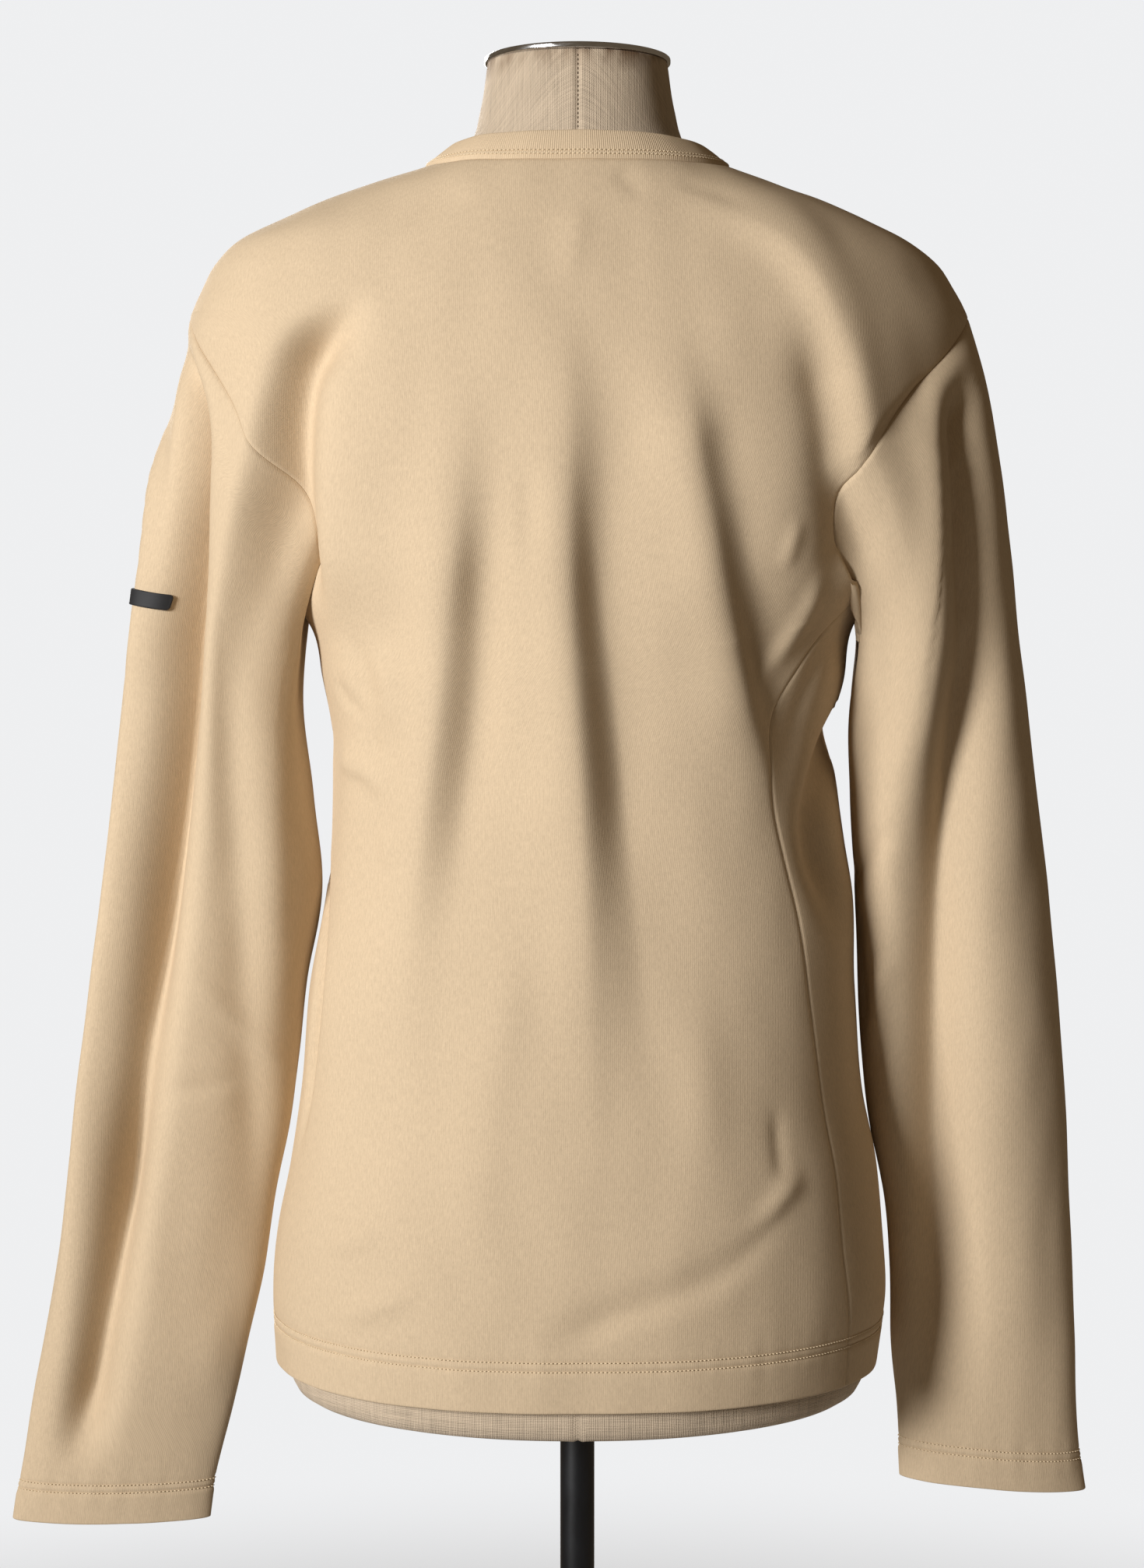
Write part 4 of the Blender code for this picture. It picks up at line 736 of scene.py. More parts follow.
def sleeve_shape(side, armhole, creases):
    """The sleeve that hangs from this ring of armhole points, with its folds."""
    ring = looped(armhole)
    corners = np.linspace(0, 2 * math.pi, len(ring))
    cuff_height, cuff_rise = CUFF[side]

    def base(angle, down):
        start = read_off(angle % (2 * math.pi), corners, ring)
        end = cuff_height + cuff_rise * (1 - np.cos(angle)) / 2
        height = start[..., 2] + (end - start[..., 2]) * down
        share = np.clip(down, 0, 1)
        pull = np.exp(-ARMHOLE_PULL * share) * (1 - share)
        offset = start - sleeve_section(side, angle, start[..., 2])
        return sleeve_section(side, angle, height) + offset * pull[..., None]

    def folded(angle, down):
        points = base(angle, down)
        normals = side * normals_of(base, angle, down, step_first=0.05, step_second=0.01)
        lift = fold_lift(points, normals, SLEEVE_FOLDS[side], sleeve_at(side))
        lift += creases * fold_lift(points, normals, SLEEVE_CREASES[side], sleeve_at(side))
        lift += creases * unevenness(points, SLEEVE_WAVER, SLEEVE_SEED + side)
        return points + (lift * smooth_step(down / SLEEVE_FOLDS_START))[..., None] * normals

    return folded


# ---------------------------------------------------------------- thin shells
Shell = namedtuple("Shell", "points normals across up closed")


def edge_round(distance, thick):
    """How far a folded or cut edge is rounded off, this far from the edge."""
    share = np.clip(1 - distance / (thick / 2), 0, 1)
    return thick / 2 * (1 - np.sqrt(1 - share * share * EDGE_ROUNDNESS))


def turned_hem(up, rows, along, seed, share):
    """Relief of a turned-up double edge: fuller below the stitches, drawn in and puckered along them."""
    full = FULLNESS * smooth_step((rows[0] + 0.001 - up) / FULLNESS_REACH)
    drawn = sum(bump(up - row, DRAWN_IN_REACH) for row in rows) * -DRAWN_IN
    between = up - sum(rows) / 2
    waver = [noise.noise((length / PUCKER_LENGTH, 0, seed)) for length in along.ravel().tolist()]
    pucker = PUCKER * share * np.reshape(waver, along.shape) * bump(between, PUCKER_REACH)
    return full + drawn + RIDGE * bump(between, RIDGE_REACH) + pucker


def quads(grid):
    """Faces between the rows and columns of a grid of numbers."""
    return np.stack([grid[:-1, :-1], grid[:-1, 1:], grid[1:, 1:], grid[1:, :-1]], axis=-1).reshape(-1, 4)


def mesh_with_lengths(name, points, faces, uvs):
    """A smooth mesh whose UVs, one for each corner of its faces, are lengths in metres."""
    mesh = bpy.data.meshes.new(name)
    mesh.from_pydata(points.tolist(), [], faces)
    mesh.uv_layers.new(name="Lengths").data.foreach_set("uv", uvs.astype(np.float32).ravel())
    mesh.shade_smooth()
    return mesh


def shell_mesh(name, outer, inner, across, up, closed):
    """A thin closed wall between two grids of points, with its lengths across and up as UVs."""
    count = outer.shape[0] * outer.shape[1]
    number = np.arange(count).reshape(outer.shape[:2])
    ring = looped(number, axis=1) if closed else number
    mark = np.arange(ring.size).reshape(ring.shape)

    def rim(grid, shift):
        if closed:
            edges = [grid[0], grid[-1, ::-1]]
        else:
            edges = [np.concatenate([grid[0], grid[1:, -1], grid[-1, -2::-1], grid[-2::-1, 0]])]
        return np.concatenate([
            np.stack([e[1:], e[:-1], e[:-1] + shift, e[1:] + shift], axis=-1) for e in edges])

    faces = np.concatenate([quads(ring), quads(ring)[:, ::-1] + count, rim(ring, count)])
    marks = np.concatenate([quads(mark), quads(mark)[:, ::-1], rim(mark, 0)])
    every = np.concatenate([outer.reshape(-1, 3), inner.reshape(-1, 3)])
    first, second, _, fourth = quads(number)[::FACING_STEP].T
    facing = np.cross(every[second] - every[first], every[fourth] - every[first])
    if np.sum(facing * (every[first] - every[first + count])) < 0:
        faces, marks = faces[:, ::-1], marks[:, ::-1]
    uvs = np.stack([across.ravel(), up.ravel()], axis=-1)[marks.ravel()]
    return mesh_with_lengths(name, every, faces.tolist(), uvs)


def put(mesh, finish, slot, *nodes):
    """A piece of the mesh's name in the scene, riding with the object and standing for its solids."""
    mesh.materials.append(finish)
    piece = bpy.data.objects.new(mesh.name, mesh)
    bpy.context.scene.collection.objects.link(piece)
    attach(piece, "root")
    if nodes:
        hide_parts(*nodes)
    return piece


def closed_lengths(points):
    """Lengths around a closed grid's rows, with the closing stretch, as one more column."""
    return lengths_along(looped(points, axis=1), 1)


# ---------------------------------------------------------------- cloth pieces
def outward(points, normals, centre):
    """The normals, all turned round if they face the centre."""
    return normals * np.sign(np.sum(normals * (points - centre) * (1, 1, 0)))


@functools.cache
def panel_grid(face, creases):
    """A panel's outer points and its own normals."""
    points = torso(*panel_places(face), creases)
    return points, outward(points, grid_normals(points, False), 0)


@functools.cache
def sleeve_grid(side, creases):
    """A sleeve's outer points and its own normals, in rows from armhole to cuff, and its angles."""
    ring = armhole_ring(side, creases, 0)
    angle = np.sort(np.concatenate([turns_round(len(ring)), math.pi + UNDERARM_TURNS]))
    downs = graded(SLEEVE_LENGTH, GRID, near_start=SEAM_STEPS, near_end=CUFF_STEPS)
    points = sleeve_shape(side, ring, creases)(*np.meshgrid(angle, downs))
    return points, outward(points, grid_normals(points, True), points.mean(axis=1, keepdims=True)), angle


def armhole_ring(side, creases, which):
    """An armhole's points (0) or its panels' normals (1): shoulder, back, under the arm, front."""
    column = -1 if side > 0 else 0
    behind = panel_grid("back", creases)[which][ARMHOLE_SPAN, column]
    ahead = panel_grid("front", creases)[which][ARMHOLE_SPAN, column]
    return np.concatenate([behind[::-1], ahead[1:-1]])


@functools.cache
def armhole_normals(side, creases):
    """Normals halfway between panels and sleeve around an armhole, and the sleeve's angles for them."""
    panels = armhole_ring(side, creases, 1)
    around = np.linspace(0, 2 * math.pi, len(panels) + 1)
    _, normals, angle = sleeve_grid(side, creases)
    sleeve = read_off(around[:-1], angle, normals[0], period=2 * math.pi)
    return unit(panels + unit(sleeve)), around


def edge_normals(side, face, creases):
    """Normals that the pieces on both sides share up one edge of a panel."""
    column = -1 if side > 0 else 0
    shared = unit(panel_grid("back", creases)[1][:, column] + panel_grid("front", creases)[1][:, column])
    ring, _ = armhole_normals(side, creases)
    size = ARMHOLE_SPAN.stop - ARMHOLE_SPAN.start
    shared[ARMHOLE_SPAN] = ring[:size][::-1] if face == "back" else looped(ring)[size - 1:]
    return shared


def blended(normals, shared, distance):
    """Normals that go over into the shared ones towards a seam."""
    share = smooth_step(distance / SEAM_BLEND)[..., None]
    return unit(normals * share + shared * (1 - share))


@functools.cache
def panel_shell(face, creases):
    """A panel's outer points and normals, and its lengths from centre and from hem."""
    points, normals = panel_grid(face, creases)
    across = lengths_along(points, 1)
    normals = blended(normals, edge_normals(-1, face, creases)[:, None], across)
    normals = blended(normals, edge_normals(1, face, creases)[:, None], across[:, -1:] - across)
    centre = across[:, across.shape[1] // 2][:, None]
    return Shell(points, normals, across - centre, lengths_along(points, 0), False)


@functools.cache
def sleeve_shell(side, creases):
    """A sleeve's outer points and normals, and its lengths around and down."""
    points, normals, angle = sleeve_grid(side, creases)
    ring, around = armhole_normals(side, creases)
    shared = read_off(angle, around, looped(ring))
    down = lengths_along(points, 0)
    return Shell(points, blended(normals, shared, down), closed_lengths(points), down, True)


def walls(shell, lift, up):
    """The outer and inner face of a cloth wall with this relief, rounded at its free edge."""
    ease = edge_round(up, CLOTH)
    return (shell.points + (lift - ease)[..., None] * shell.normals,
            shell.points + (ease - CLOTH)[..., None] * shell.normals)


def panel_mesh(name, face, creases):
    """A panel with its turned-up hem, drawn in a little along its seams."""
    shell = panel_shell(face, creases)
    side = np.minimum(shell.across - shell.across[:, :1], shell.across[:, -1:] - shell.across)
    lift = turned_hem(shell.up, HEM_ROWS, shell.across, HEM_SEED, smooth_step(side / PUCKER_START))
    lift -= SEAM_DEPTH * bump(np.minimum(side, shell.up[-1:] - shell.up), SEAM_REACH)
    return shell_mesh(name, *walls(shell, lift, shell.up), shell.across, shell.up, False)


def sleeve_mesh(name, side, creases):
    """A sleeve with its turned-up cuff, drawn in a little along the armhole."""
    shell = sleeve_shell(side, creases)
    up = shell.up[-1:] - shell.up
    lift = turned_hem(up, CUFF_ROWS, shell.across[:, :-1], CUFF_SEED + side, 1.0)
    lift -= SEAM_DEPTH * bump(shell.up, SEAM_REACH)
    return shell_mesh(name, *walls(shell, lift, up), shell.across, looped(-shell.up, axis=1), True)


def neckline(creases):
    """The neckline's points once round, and the lengths along them."""
    back, front = panel_shell("back", creases).points[-1], panel_shell("front", creases).points[-1]
    loop = looped(np.concatenate([back, front[-2:0:-1]]))
    return loop, lengths_along(loop[None], 1)[0]


def soften(values, times):
    """A closed ring's values, each mixed with its neighbours' a number of times."""
    for _ in range(times):
        values = (np.roll(values, 1, axis=0) + 2 * values + np.roll(values, -1, axis=0)) / 4
    return values


def band_frame(creases, count):
    """The neckband's seam points, evenly spread, the way it rises there and its outward normals."""
    loop, length = neckline(creases)
    ring = soften(read_off(np.linspace(0, length[-1], count + 1)[:-1], length, loop), BAND_SOFTENING)
    heading = np.arctan2(ring[:, 0], ring[:, 1])
    inward = -places(np.sin(heading), np.cos(heading), 0)
    steepness = np.where(np.cos(heading) > 0, BAND_LEAN_BACK, BAND_LEAN_FRONT) - BAND_LEAN_SIDE
    lean = np.radians(BAND_LEAN_SIDE + steepness * np.abs(np.cos(heading)) ** BAND_LEAN_POWER)[:, None]
    rise = inward * np.cos(lean) + np.array([0, 0, 1]) * np.sin(lean)
    course = unit(np.roll(ring, -BAND_COURSE_STEP, axis=0) - np.roll(ring, BAND_COURSE_STEP, axis=0))
    normals = unit(np.cross(rise, course))
    normals = normals * np.sign(np.sum(normals * -inward, axis=-1, keepdims=True))
    return ring, rise, normals


def neckband_mesh(name, creases, rib_pitch, rib_depth):
    """The doubled rib band: ribs on its outer face, a rounded top edge and a plain inside."""
    ribs = round(neckline(creases)[1][-1] / rib_pitch)
    ring, rise, normals = band_frame(creases, RIB_POINTS * ribs)
    shares = graded(BAND_WIDTH, BAND_GRID, BAND_SEAM_STEPS, BAND_EDGE_STEPS)
    up = shares * BAND_WIDTH
    full = BAND_FULLNESS * np.sin(math.pi * np.clip(shares, 0, 1)) ** 0.7 + ridges(up, BAND_RIDGES)
    ease = edge_round(BAND_WIDTH - up, RIB_CLOTH * 0.95)
    rib = rib_depth * np.cos(np.arange(RIB_POINTS * ribs) * 2 * math.pi / RIB_POINTS + 0.5)
    faded = np.clip(up / RIB_FADE_SEAM, 0, 1) * np.clip((BAND_WIDTH - up) / RIB_FADE_EDGE, 0.25, 1)
    path = ring + rise * up[:, None, None]
    push = (full - ease)[:, None] + rib * faded[:, None]
    outer = path + push[..., None] * normals
    inner = path + (ease - RIB_CLOTH)[:, None, None] * normals
    across, height = np.broadcast_arrays(closed_lengths(ring[None]), up[:, None])
    return shell_mesh(name, outer, inner, across, height, True)


def tab_mesh(name, creases):
    """The bare tab: the left sleeve's points moved out, with rounded ends and a low welt."""
    folded = sleeve_shape(1, armhole_ring(1, creases, 0), creases)

    def at_height(angle, height):
        top, bottom = folded(angle, 0 * angle)[..., 2], folded(angle, 0 * angle + 1)[..., 2]
        return (top - height) / (top - bottom)

    angles = np.linspace(*TAB_TURNS, RING_SAMPLES)
    course = folded(angles, at_height(angles, TAB_HEIGHT))
    length = lengths_along(course[None], 1)[0]
    length = length - np.interp(0, angles, length) - TAB_BACKWARDS
    along = TAB_LENGTH / 2 * np.sin(np.linspace(-math.pi / 2, math.pi / 2, TAB_COLUMNS))
    end = np.maximum(np.abs(along) - (TAB_LENGTH / 2 - TAB_CORNER), 0)
    half = TAB_WIDTH / 2 - TAB_CORNER + np.sqrt(np.maximum(TAB_CORNER ** 2 - end ** 2, 0))
    rows = np.sin(np.linspace(-math.pi / 2, math.pi / 2, TAB_ROWS))[:, None]
    angle, height = np.broadcast_arrays(
        np.interp(along, length, angles), TAB_HEIGHT - TAB_SLOPE * along + rows * half)
    down = at_height(angle, height)
    points = folded(angle, down)
    normals = normals_of(folded, angle, down, step_first=0.03, step_second=0.006)
    border = np.minimum(half * (1 - np.abs(rows)), TAB_LENGTH / 2 - np.abs(along) + 0 * rows)
    ease = edge_round(border, TAB_THICK * 1.2) * 0.8 - ridges(border, TAB_RIDGES)
    outer = points + (TAB_CLEARANCE + TAB_THICK - ease)[..., None] * normals
    inner = points + TAB_CLEARANCE * normals
    across, rise = np.broadcast_arrays(along + 0 * rows, rows * half)
    return shell_mesh(name, outer, inner, across, rise, False)


# ---------------------------------------------------------------- thread
def path_at_height(shell, height, lift):
    """Points and normals along a shell's row of stitches, this far above its edge."""
    up, points, normals = shell.up, shell.points, shell.normals
    if shell.closed:
        up, points, normals = (up[-1:] - up)[::-1], points[::-1], normals[::-1]
    columns = np.arange(points.shape[1])
    row = np.sum(up < height, axis=0)
    low, high = up[row - 1, columns], up[row, columns]
    part = ((height - low) / (high - low))[:, None]
    path = points[row - 1, columns] * (1 - part) + points[row, columns] * part
    facing = unit(normals[row - 1, columns] * (1 - part) + normals[row, columns] * part)
    if shell.closed:
        path, facing = looped(path), looped(facing)
    return path + lift * facing, facing


def stitches(path, facing, pitch, length, radius):
    """Points and faces of short threads along a path, sunk at their ends."""
    run = lengths_along(path[None], 1)[0]
    count = max(int(run[-1] / pitch), 1)
    start = (np.arange(count) + 0.15) * run[-1] / count
    share, lift, thick = STITCH.T
    at = start[:, None] + share * length
    middle = read_off(at, run, path)
    up = unit(read_off(at, run, facing))
    course = unit(middle[:, -1:] - middle[:, :1] + 0 * middle)
    side = unit(np.cross(up, course))
    middle = middle + up * (lift * radius)[None, :, None]
    turns = turns_round(STITCH_SIDES)[:, None]
    ring = up[..., None, :] * np.cos(turns) + side[..., None, :] * np.sin(turns)
    points = middle[..., None, :] + ring * (thick * radius)[None, :, None, None]
    number = np.arange(len(STITCH) * STITCH_SIDES).reshape(-1, STITCH_SIDES)
    shift = number.size * np.arange(count)[:, None, None]
    faces = (quads(looped(number, axis=1)) + shift).reshape(-1, 4)
    caps = (np.stack([number[0, ::-1], number[-1]]) + shift).reshape(-1, STITCH_SIDES)
    return points.reshape(-1, 3), faces, caps


def thread_mesh(name, rows):
    """One mesh of several rows of stitches."""
    points, faces, count = [], [], 0
    for places_along, sides, caps in rows:
        faces += (sides + count).tolist() + (caps + count).tolist()
        points.append(places_along)
        count += len(places_along)
    mesh = bpy.data.meshes.new(name)
    mesh.from_pydata(np.concatenate(points).tolist(), [], faces)
    mesh.shade_smooth()
    return mesh


# ---------------------------------------------------------------- form and stand
def form_point(turn, height):
    """A point of the form at this turn and height."""
    half, behind, ahead = table_at(FORM, height)
    return places(*oval(turn, half, half, behind, ahead, FORM_POWER), height)


def form_mesh(name):
    """The padded torso with a closed underside, drawn in a little along its centre-back seam."""
    bottom, top = FORM[0, 0], FORM[-1, 0]
    heights = bottom + (top - bottom) * graded(FORM_LENGTH, FORM_GRID, FORM_BOTTOM_STEPS, FORM_TOP_STEPS)
    turn = np.sort(np.concatenate([turns_round(FORM_COLUMNS) - math.pi, FORM_SEAM_TURNS]))
    points = form_point(*np.meshgrid(turn, heights))
    normals = outward(points, grid_normals(points, True), 0)
    lift = np.where(points[..., 1] > 0, ridges(np.abs(points[..., 0]), FORM_RIDGES), 0)
    points = points + lift[..., None] * normals
    lengths = closed_lengths(points)
    lengths = lengths - lengths[:, [np.argmin(np.abs(turn))]]
    rise = looped(lengths_along(points, 0), axis=1)
    number = np.arange(rise[:, 1:].size).reshape(-1, len(turn))
    mark = np.arange(rise.size).reshape(rise.shape)
    inner = [points[0] * (share, share, 1) - (0, 0, drop) for share, drop in FORM_UNDERSIDE]
    below = number.size + np.arange(len(inner) * len(turn)).reshape(-1, len(turn))
    under = quads(looped(np.concatenate([number[:1], below]), axis=1))
    every = np.concatenate([points.reshape(-1, 3), *inner])
    sides = quads(looped(number, axis=1))[:, ::-1]
    caps = [below[-1], number[-1, ::-1]]
    uvs = np.concatenate([np.stack([lengths.ravel(), rise.ravel()], axis=-1)[quads(mark)[:, ::-1].ravel()],
                          every[np.concatenate([under.ravel(), *caps]), :2]])
    faces = sides.tolist() + under.tolist() + [cap.tolist() for cap in caps]
    return mesh_with_lengths(name, every, faces, uvs)


def turned_mesh(name, profile, columns, ahead=0.0):
    """A solid of revolution through (radius, height) corners, closed at its two ends."""
    turns = turns_round(columns)
    radius, height = np.array(profile).T[..., None]
    points = places(radius * np.sin(turns), radius * np.cos(turns) - ahead, height)
    number = np.arange(len(profile) * columns).reshape(-1, columns)
    next_one = np.roll(number, -1, axis=1)
    sides = np.stack([next_one[:-1], number[:-1], number[1:], next_one[1:]], axis=-1).reshape(-1, 4)
    faces = [*sides.tolist(), number[0].tolist(), number[-1, ::-1].tolist()]
    mesh = bpy.data.meshes.new(name)
    mesh.from_pydata(points.reshape(-1, 3).tolist(), [], faces)
    mesh.shade_smooth()
    mesh.set_sharp_from_angle(angle=math.radians(50))
    return mesh


def rounded(corners, radius, steps=4):
    """A profile whose corners are rounded with this radius, or less on short sides."""
    corners = [np.array(c, float) for c in corners]
    out = [corners[0]]
    for before, here, after in zip(corners, corners[1:], corners[2:]):
        first, second = before - here, after - here
        cut = min(radius, np.linalg.norm(first) / 2, np.linalg.norm(second) / 2)
        start, end = here + unit(first) * cut, here + unit(second) * cut
        for share in np.linspace(0, 1, steps + 1):
            out.append(start * (1 - share) ** 2 + 2 * here * share * (1 - share) + end * share ** 2)
    return [tuple(p) for p in out + [corners[-1]]]


def plate_profile():
    """The neck plate: a thin disc whose top lies a little below its rounded rim."""
    low = FORM[-1, 0] + GAP
    high = low + CAP_THICK
    return rounded([
        (AXIS, low), (CAP_RADIUS - 0.0035, low), (CAP_RADIUS, low + 0.0002), (CAP_RADIUS, high - 0.0004),
        (CAP_RADIUS - 0.0022, high), (CAP_RADIUS - 0.0040, high - 0.0009), (AXIS, high - 0.0007),
    ], 0.0009)


def pole_profile():
    """The pole: a tube from the base's hub to the form."""
    low, high = HUB_TOP + GAP, FORM[0, 0] - GAP
    return rounded([(AXIS, low), (POLE_RADIUS, low), (POLE_RADIUS, high), (AXIS, high)], 0.0005)


def base_profile():
    """The base: a round plate with a hub in its middle."""
    return rounded([
        (AXIS, 0), (BASE_RADIUS, 0), (BASE_RADIUS, BASE_TOP), (HUB_RADIUS + 0.001, BASE_TOP + 0.0004),
        (HUB_RADIUS, HUB_TOP), (AXIS, HUB_TOP),
    ], 0.0024, 6)


# ---------------------------------------------------------------- finishes
class Finish:
    """A Principled material with short ways to add and join its nodes."""

    def __init__(self, name, roughness, **sockets):
        self.material = bpy.data.materials.new(name)
        self.material.use_nodes = True
        self.nodes = self.material.node_tree.nodes
        self.shader = self.nodes["Principled BSDF"]
        self.shader.inputs["Roughness"].default_value = roughness
        for socket, value in sockets.items():
            self.shader.inputs[socket.replace("_", " ")].default_value = value

    def node(self, kind, links=(), **settings):
        """A node with settings on itself or its sockets, and links as (socket, source)."""
        node = self.nodes.new("ShaderNode" + kind)
        for key, value in settings.items():
            if hasattr(node, key):
                setattr(node, key, value)
            else:
                node.inputs[key.replace("_", " ")].default_value = value
        for socket, source in links:
            self.join(source, node.inputs[socket])
        return node

    def join(self, source, socket):
        self.material.node_tree.links.new(source, socket)

    def lengths(self, *stretch):
        """The UVs, which are lengths in metres."""
        return self.place("UV", stretch)

    def space(self, *stretch):
        """Places in the object, in metres."""
        return self.place("Object", stretch)

    def place(self, kind, stretch):
        source = self.node("TexCoord").outputs[kind]
        return self.node("Mapping", [("Vector", source)], Scale=stretch or (1, 1, 1)).outputs[0]

    def cloud(self, vector, scale, detail=2.0, rough=0.5):
        """Soft irregular values around a half."""
        links = [("Vector", vector)]
        return self.node("TexNoise", links, Scale=scale, Detail=detail, Roughness=rough).outputs[0]

    def band(self, vector, period, direction, waver=0.0):
        """A wave of this period in metres along X or Y of the vector."""
        return self.node("TexWave", [("Vector", vector)], bands_direction=direction, Distortion=waver,
                         Scale=math.pi / 10 / period, Detail=2.0, Detail_Scale=2.0).outputs["Fac"]

    def sum(self, first, second, amount):
        """first + second * amount."""
        node = self.node("Math", [(0, second), (2, first)], operation="MULTIPLY_ADD")
        node.inputs[1].default_value = amount
        return node.outputs[0]

    def shades(self, value, *stops):
        """Colours along a value from 0 to 1, as (place, colour)."""
        ramp = self.node("ValToRGB", [("Fac", value)])
        elements = ramp.color_ramp.elements
        while len(elements) < len(stops):
            elements.new(0.5)
        for element, (place, colour) in zip(elements, stops):
            element.position, element.color = place, (*colour, 1)
        return ramp.outputs["Color"]

    def combine(self, operation, first, second):
        """Two values added, multiplied and so on."""
        return self.node("Math", [(0, first), (1, second)], operation=operation).outputs[0]

    def remap(self, value, low, high, to_low=0.0, to_high=1.0):
        """A value brought from one range to another, and kept inside it."""
        return self.node("MapRange", [("Value", value)], From_Min=low, From_Max=high,
                         To_Min=to_low, To_Max=to_high).outputs[0]

    def blend(self, share, first, second):
        """A colour that goes over to a plain second one with this share."""
        mix = self.node("Mix", [(0, share), (6, first)], data_type="RGBA")
        mix.inputs[7].default_value = (*second, 1)
        return mix.outputs[2]

    def relief(self, height, depth, strength=1.0, under=None):
        """Normals of this height, a depth in metres for each 1 of it, on top of others."""
        links = [("Height", height)] + ([("Normal", under)] if under else [])
        return self.node("Bump", links, Strength=strength, Distance=depth).outputs[0]

    def done(self, colour, normal=None, roughness=None):
        self.join(colour, self.shader.inputs["Base Color"])
        if normal:
            self.join(normal, self.shader.inputs["Normal"])
        if roughness:
            self.join(roughness, self.shader.inputs["Roughness"])
        return self.material


def tone(colour, factor):
    """A lighter or darker tone of a colour."""
    return tuple(min(channel * factor, 1) for channel in colour)


def jersey_finish(cloth):
    """Brushed single jersey, the same for all pieces: fine wales, a light nap and a faintly uneven dye."""
    if "Brushed jersey" in bpy.data.materials:
        return bpy.data.materials["Brushed jersey"]
    colour = cloth.jersey_colour
    make = Finish("Brushed jersey", 0.92, Sheen_Weight=0.06, Sheen_Roughness=0.5,
                  Sheen_Tint=(*tone(colour, 1.3), 1), Specular_IOR_Level=0.2)
    lengths = make.lengths()
    wale = make.band(lengths, cloth.wale_pitch, "X", 0.25)
    course = make.band(lengths, cloth.wale_pitch * 0.8, "Y", 0.5)
    fuzz = make.cloud(make.lengths(1, 0.5, 1), 1100, 3.0, 0.7)
    yarn = make.cloud(make.lengths(1, 0.22, 1), 950, 2.0, 0.6)
    cloudy = make.cloud(make.space(), 9, 3.0, 0.55)
    height = make.sum(make.sum(fuzz, wale, 0.4), course, 0.15)
    shade = make.sum(make.sum(make.sum(fuzz, wale, 0.10), yarn, 1.2), cloudy, 0.35)
    dyed = make.shades(make.remap(shade, 0.95, 2.0),
                       (0.0, tone(colour, 0.86)), (0.5, colour), (1.0, tone(colour, 1.12)))
    soft = make.relief(cloudy, 0.0008, 0.25)
    return make.done(dyed, make.relief(height, 0.00012, 0.7, soft))


def rib_finish(cloth):
    """Cotton rib in the jersey's colour; its ribs are in the mesh."""
    colour = cloth.jersey_colour
    make = Finish("Cotton rib", 0.9, Sheen_Weight=0.2, Sheen_Roughness=0.5,
                  Sheen_Tint=(*tone(colour, 1.3), 1), Specular_IOR_Level=0.25)
    fuzz = make.cloud(make.lengths(1, 0.5, 1), 1100, 3.0, 0.7)
    course = make.band(make.lengths(), cloth.wale_pitch * 0.75, "Y", 0.6)
    cloudy = make.cloud(make.space(), 14, 2.0)
    shade = make.sum(fuzz, cloudy, 0.6)
    dyed = make.shades(make.remap(shade, 0.45, 1.15), (0.0, tone(colour, 0.84)), (1.0, tone(colour, 1.1)))
    return make.done(dyed, make.relief(make.sum(fuzz, course, 0.4), 0.00010, 0.7))


def thread_finish(cloth):
    """Sewing thread, lighter and darker as it twists."""
    make = Finish("Twisted thread", 0.6, Sheen_Weight=0.15, Specular_IOR_Level=0.4)
    twist = make.cloud(make.space(), 2400, 2.0)
    dyed = make.shades(twist, (0.3, tone(cloth.thread_colour, 0.8)), (0.7, tone(cloth.thread_colour, 1.1)))
    return make.done(dyed, make.relief(twist, 0.00005, 0.5))


def seam_thread_finish():
    """The brown thread of the form's seam."""
    make = Finish("Seam thread", 0.7)
    return make.done(make.shades(make.cloud(make.space(), 900),
                                 (0.3, (0.10, 0.07, 0.045)), (0.7, (0.20, 0.14, 0.09))))


def tab_finish(cloth):
    """Tightly woven dark tape."""
    make = Finish("Woven tab", 0.62, Specular_IOR_Level=0.45, Sheen_Weight=0.1)
    lengths = make.lengths()
    warp, weft = make.band(lengths, 0.00036, "X", 0.3), make.band(lengths, 0.00030, "Y", 0.3)
    weave = make.combine("MULTIPLY", warp, weft)
    dyed = make.shades(weave, (0.0, tone(cloth.tab_colour, 0.6)), (0.8, tone(cloth.tab_colour, 1.7)))
    return make.done(dyed, make.relief(weave, 0.00005, 0.8))


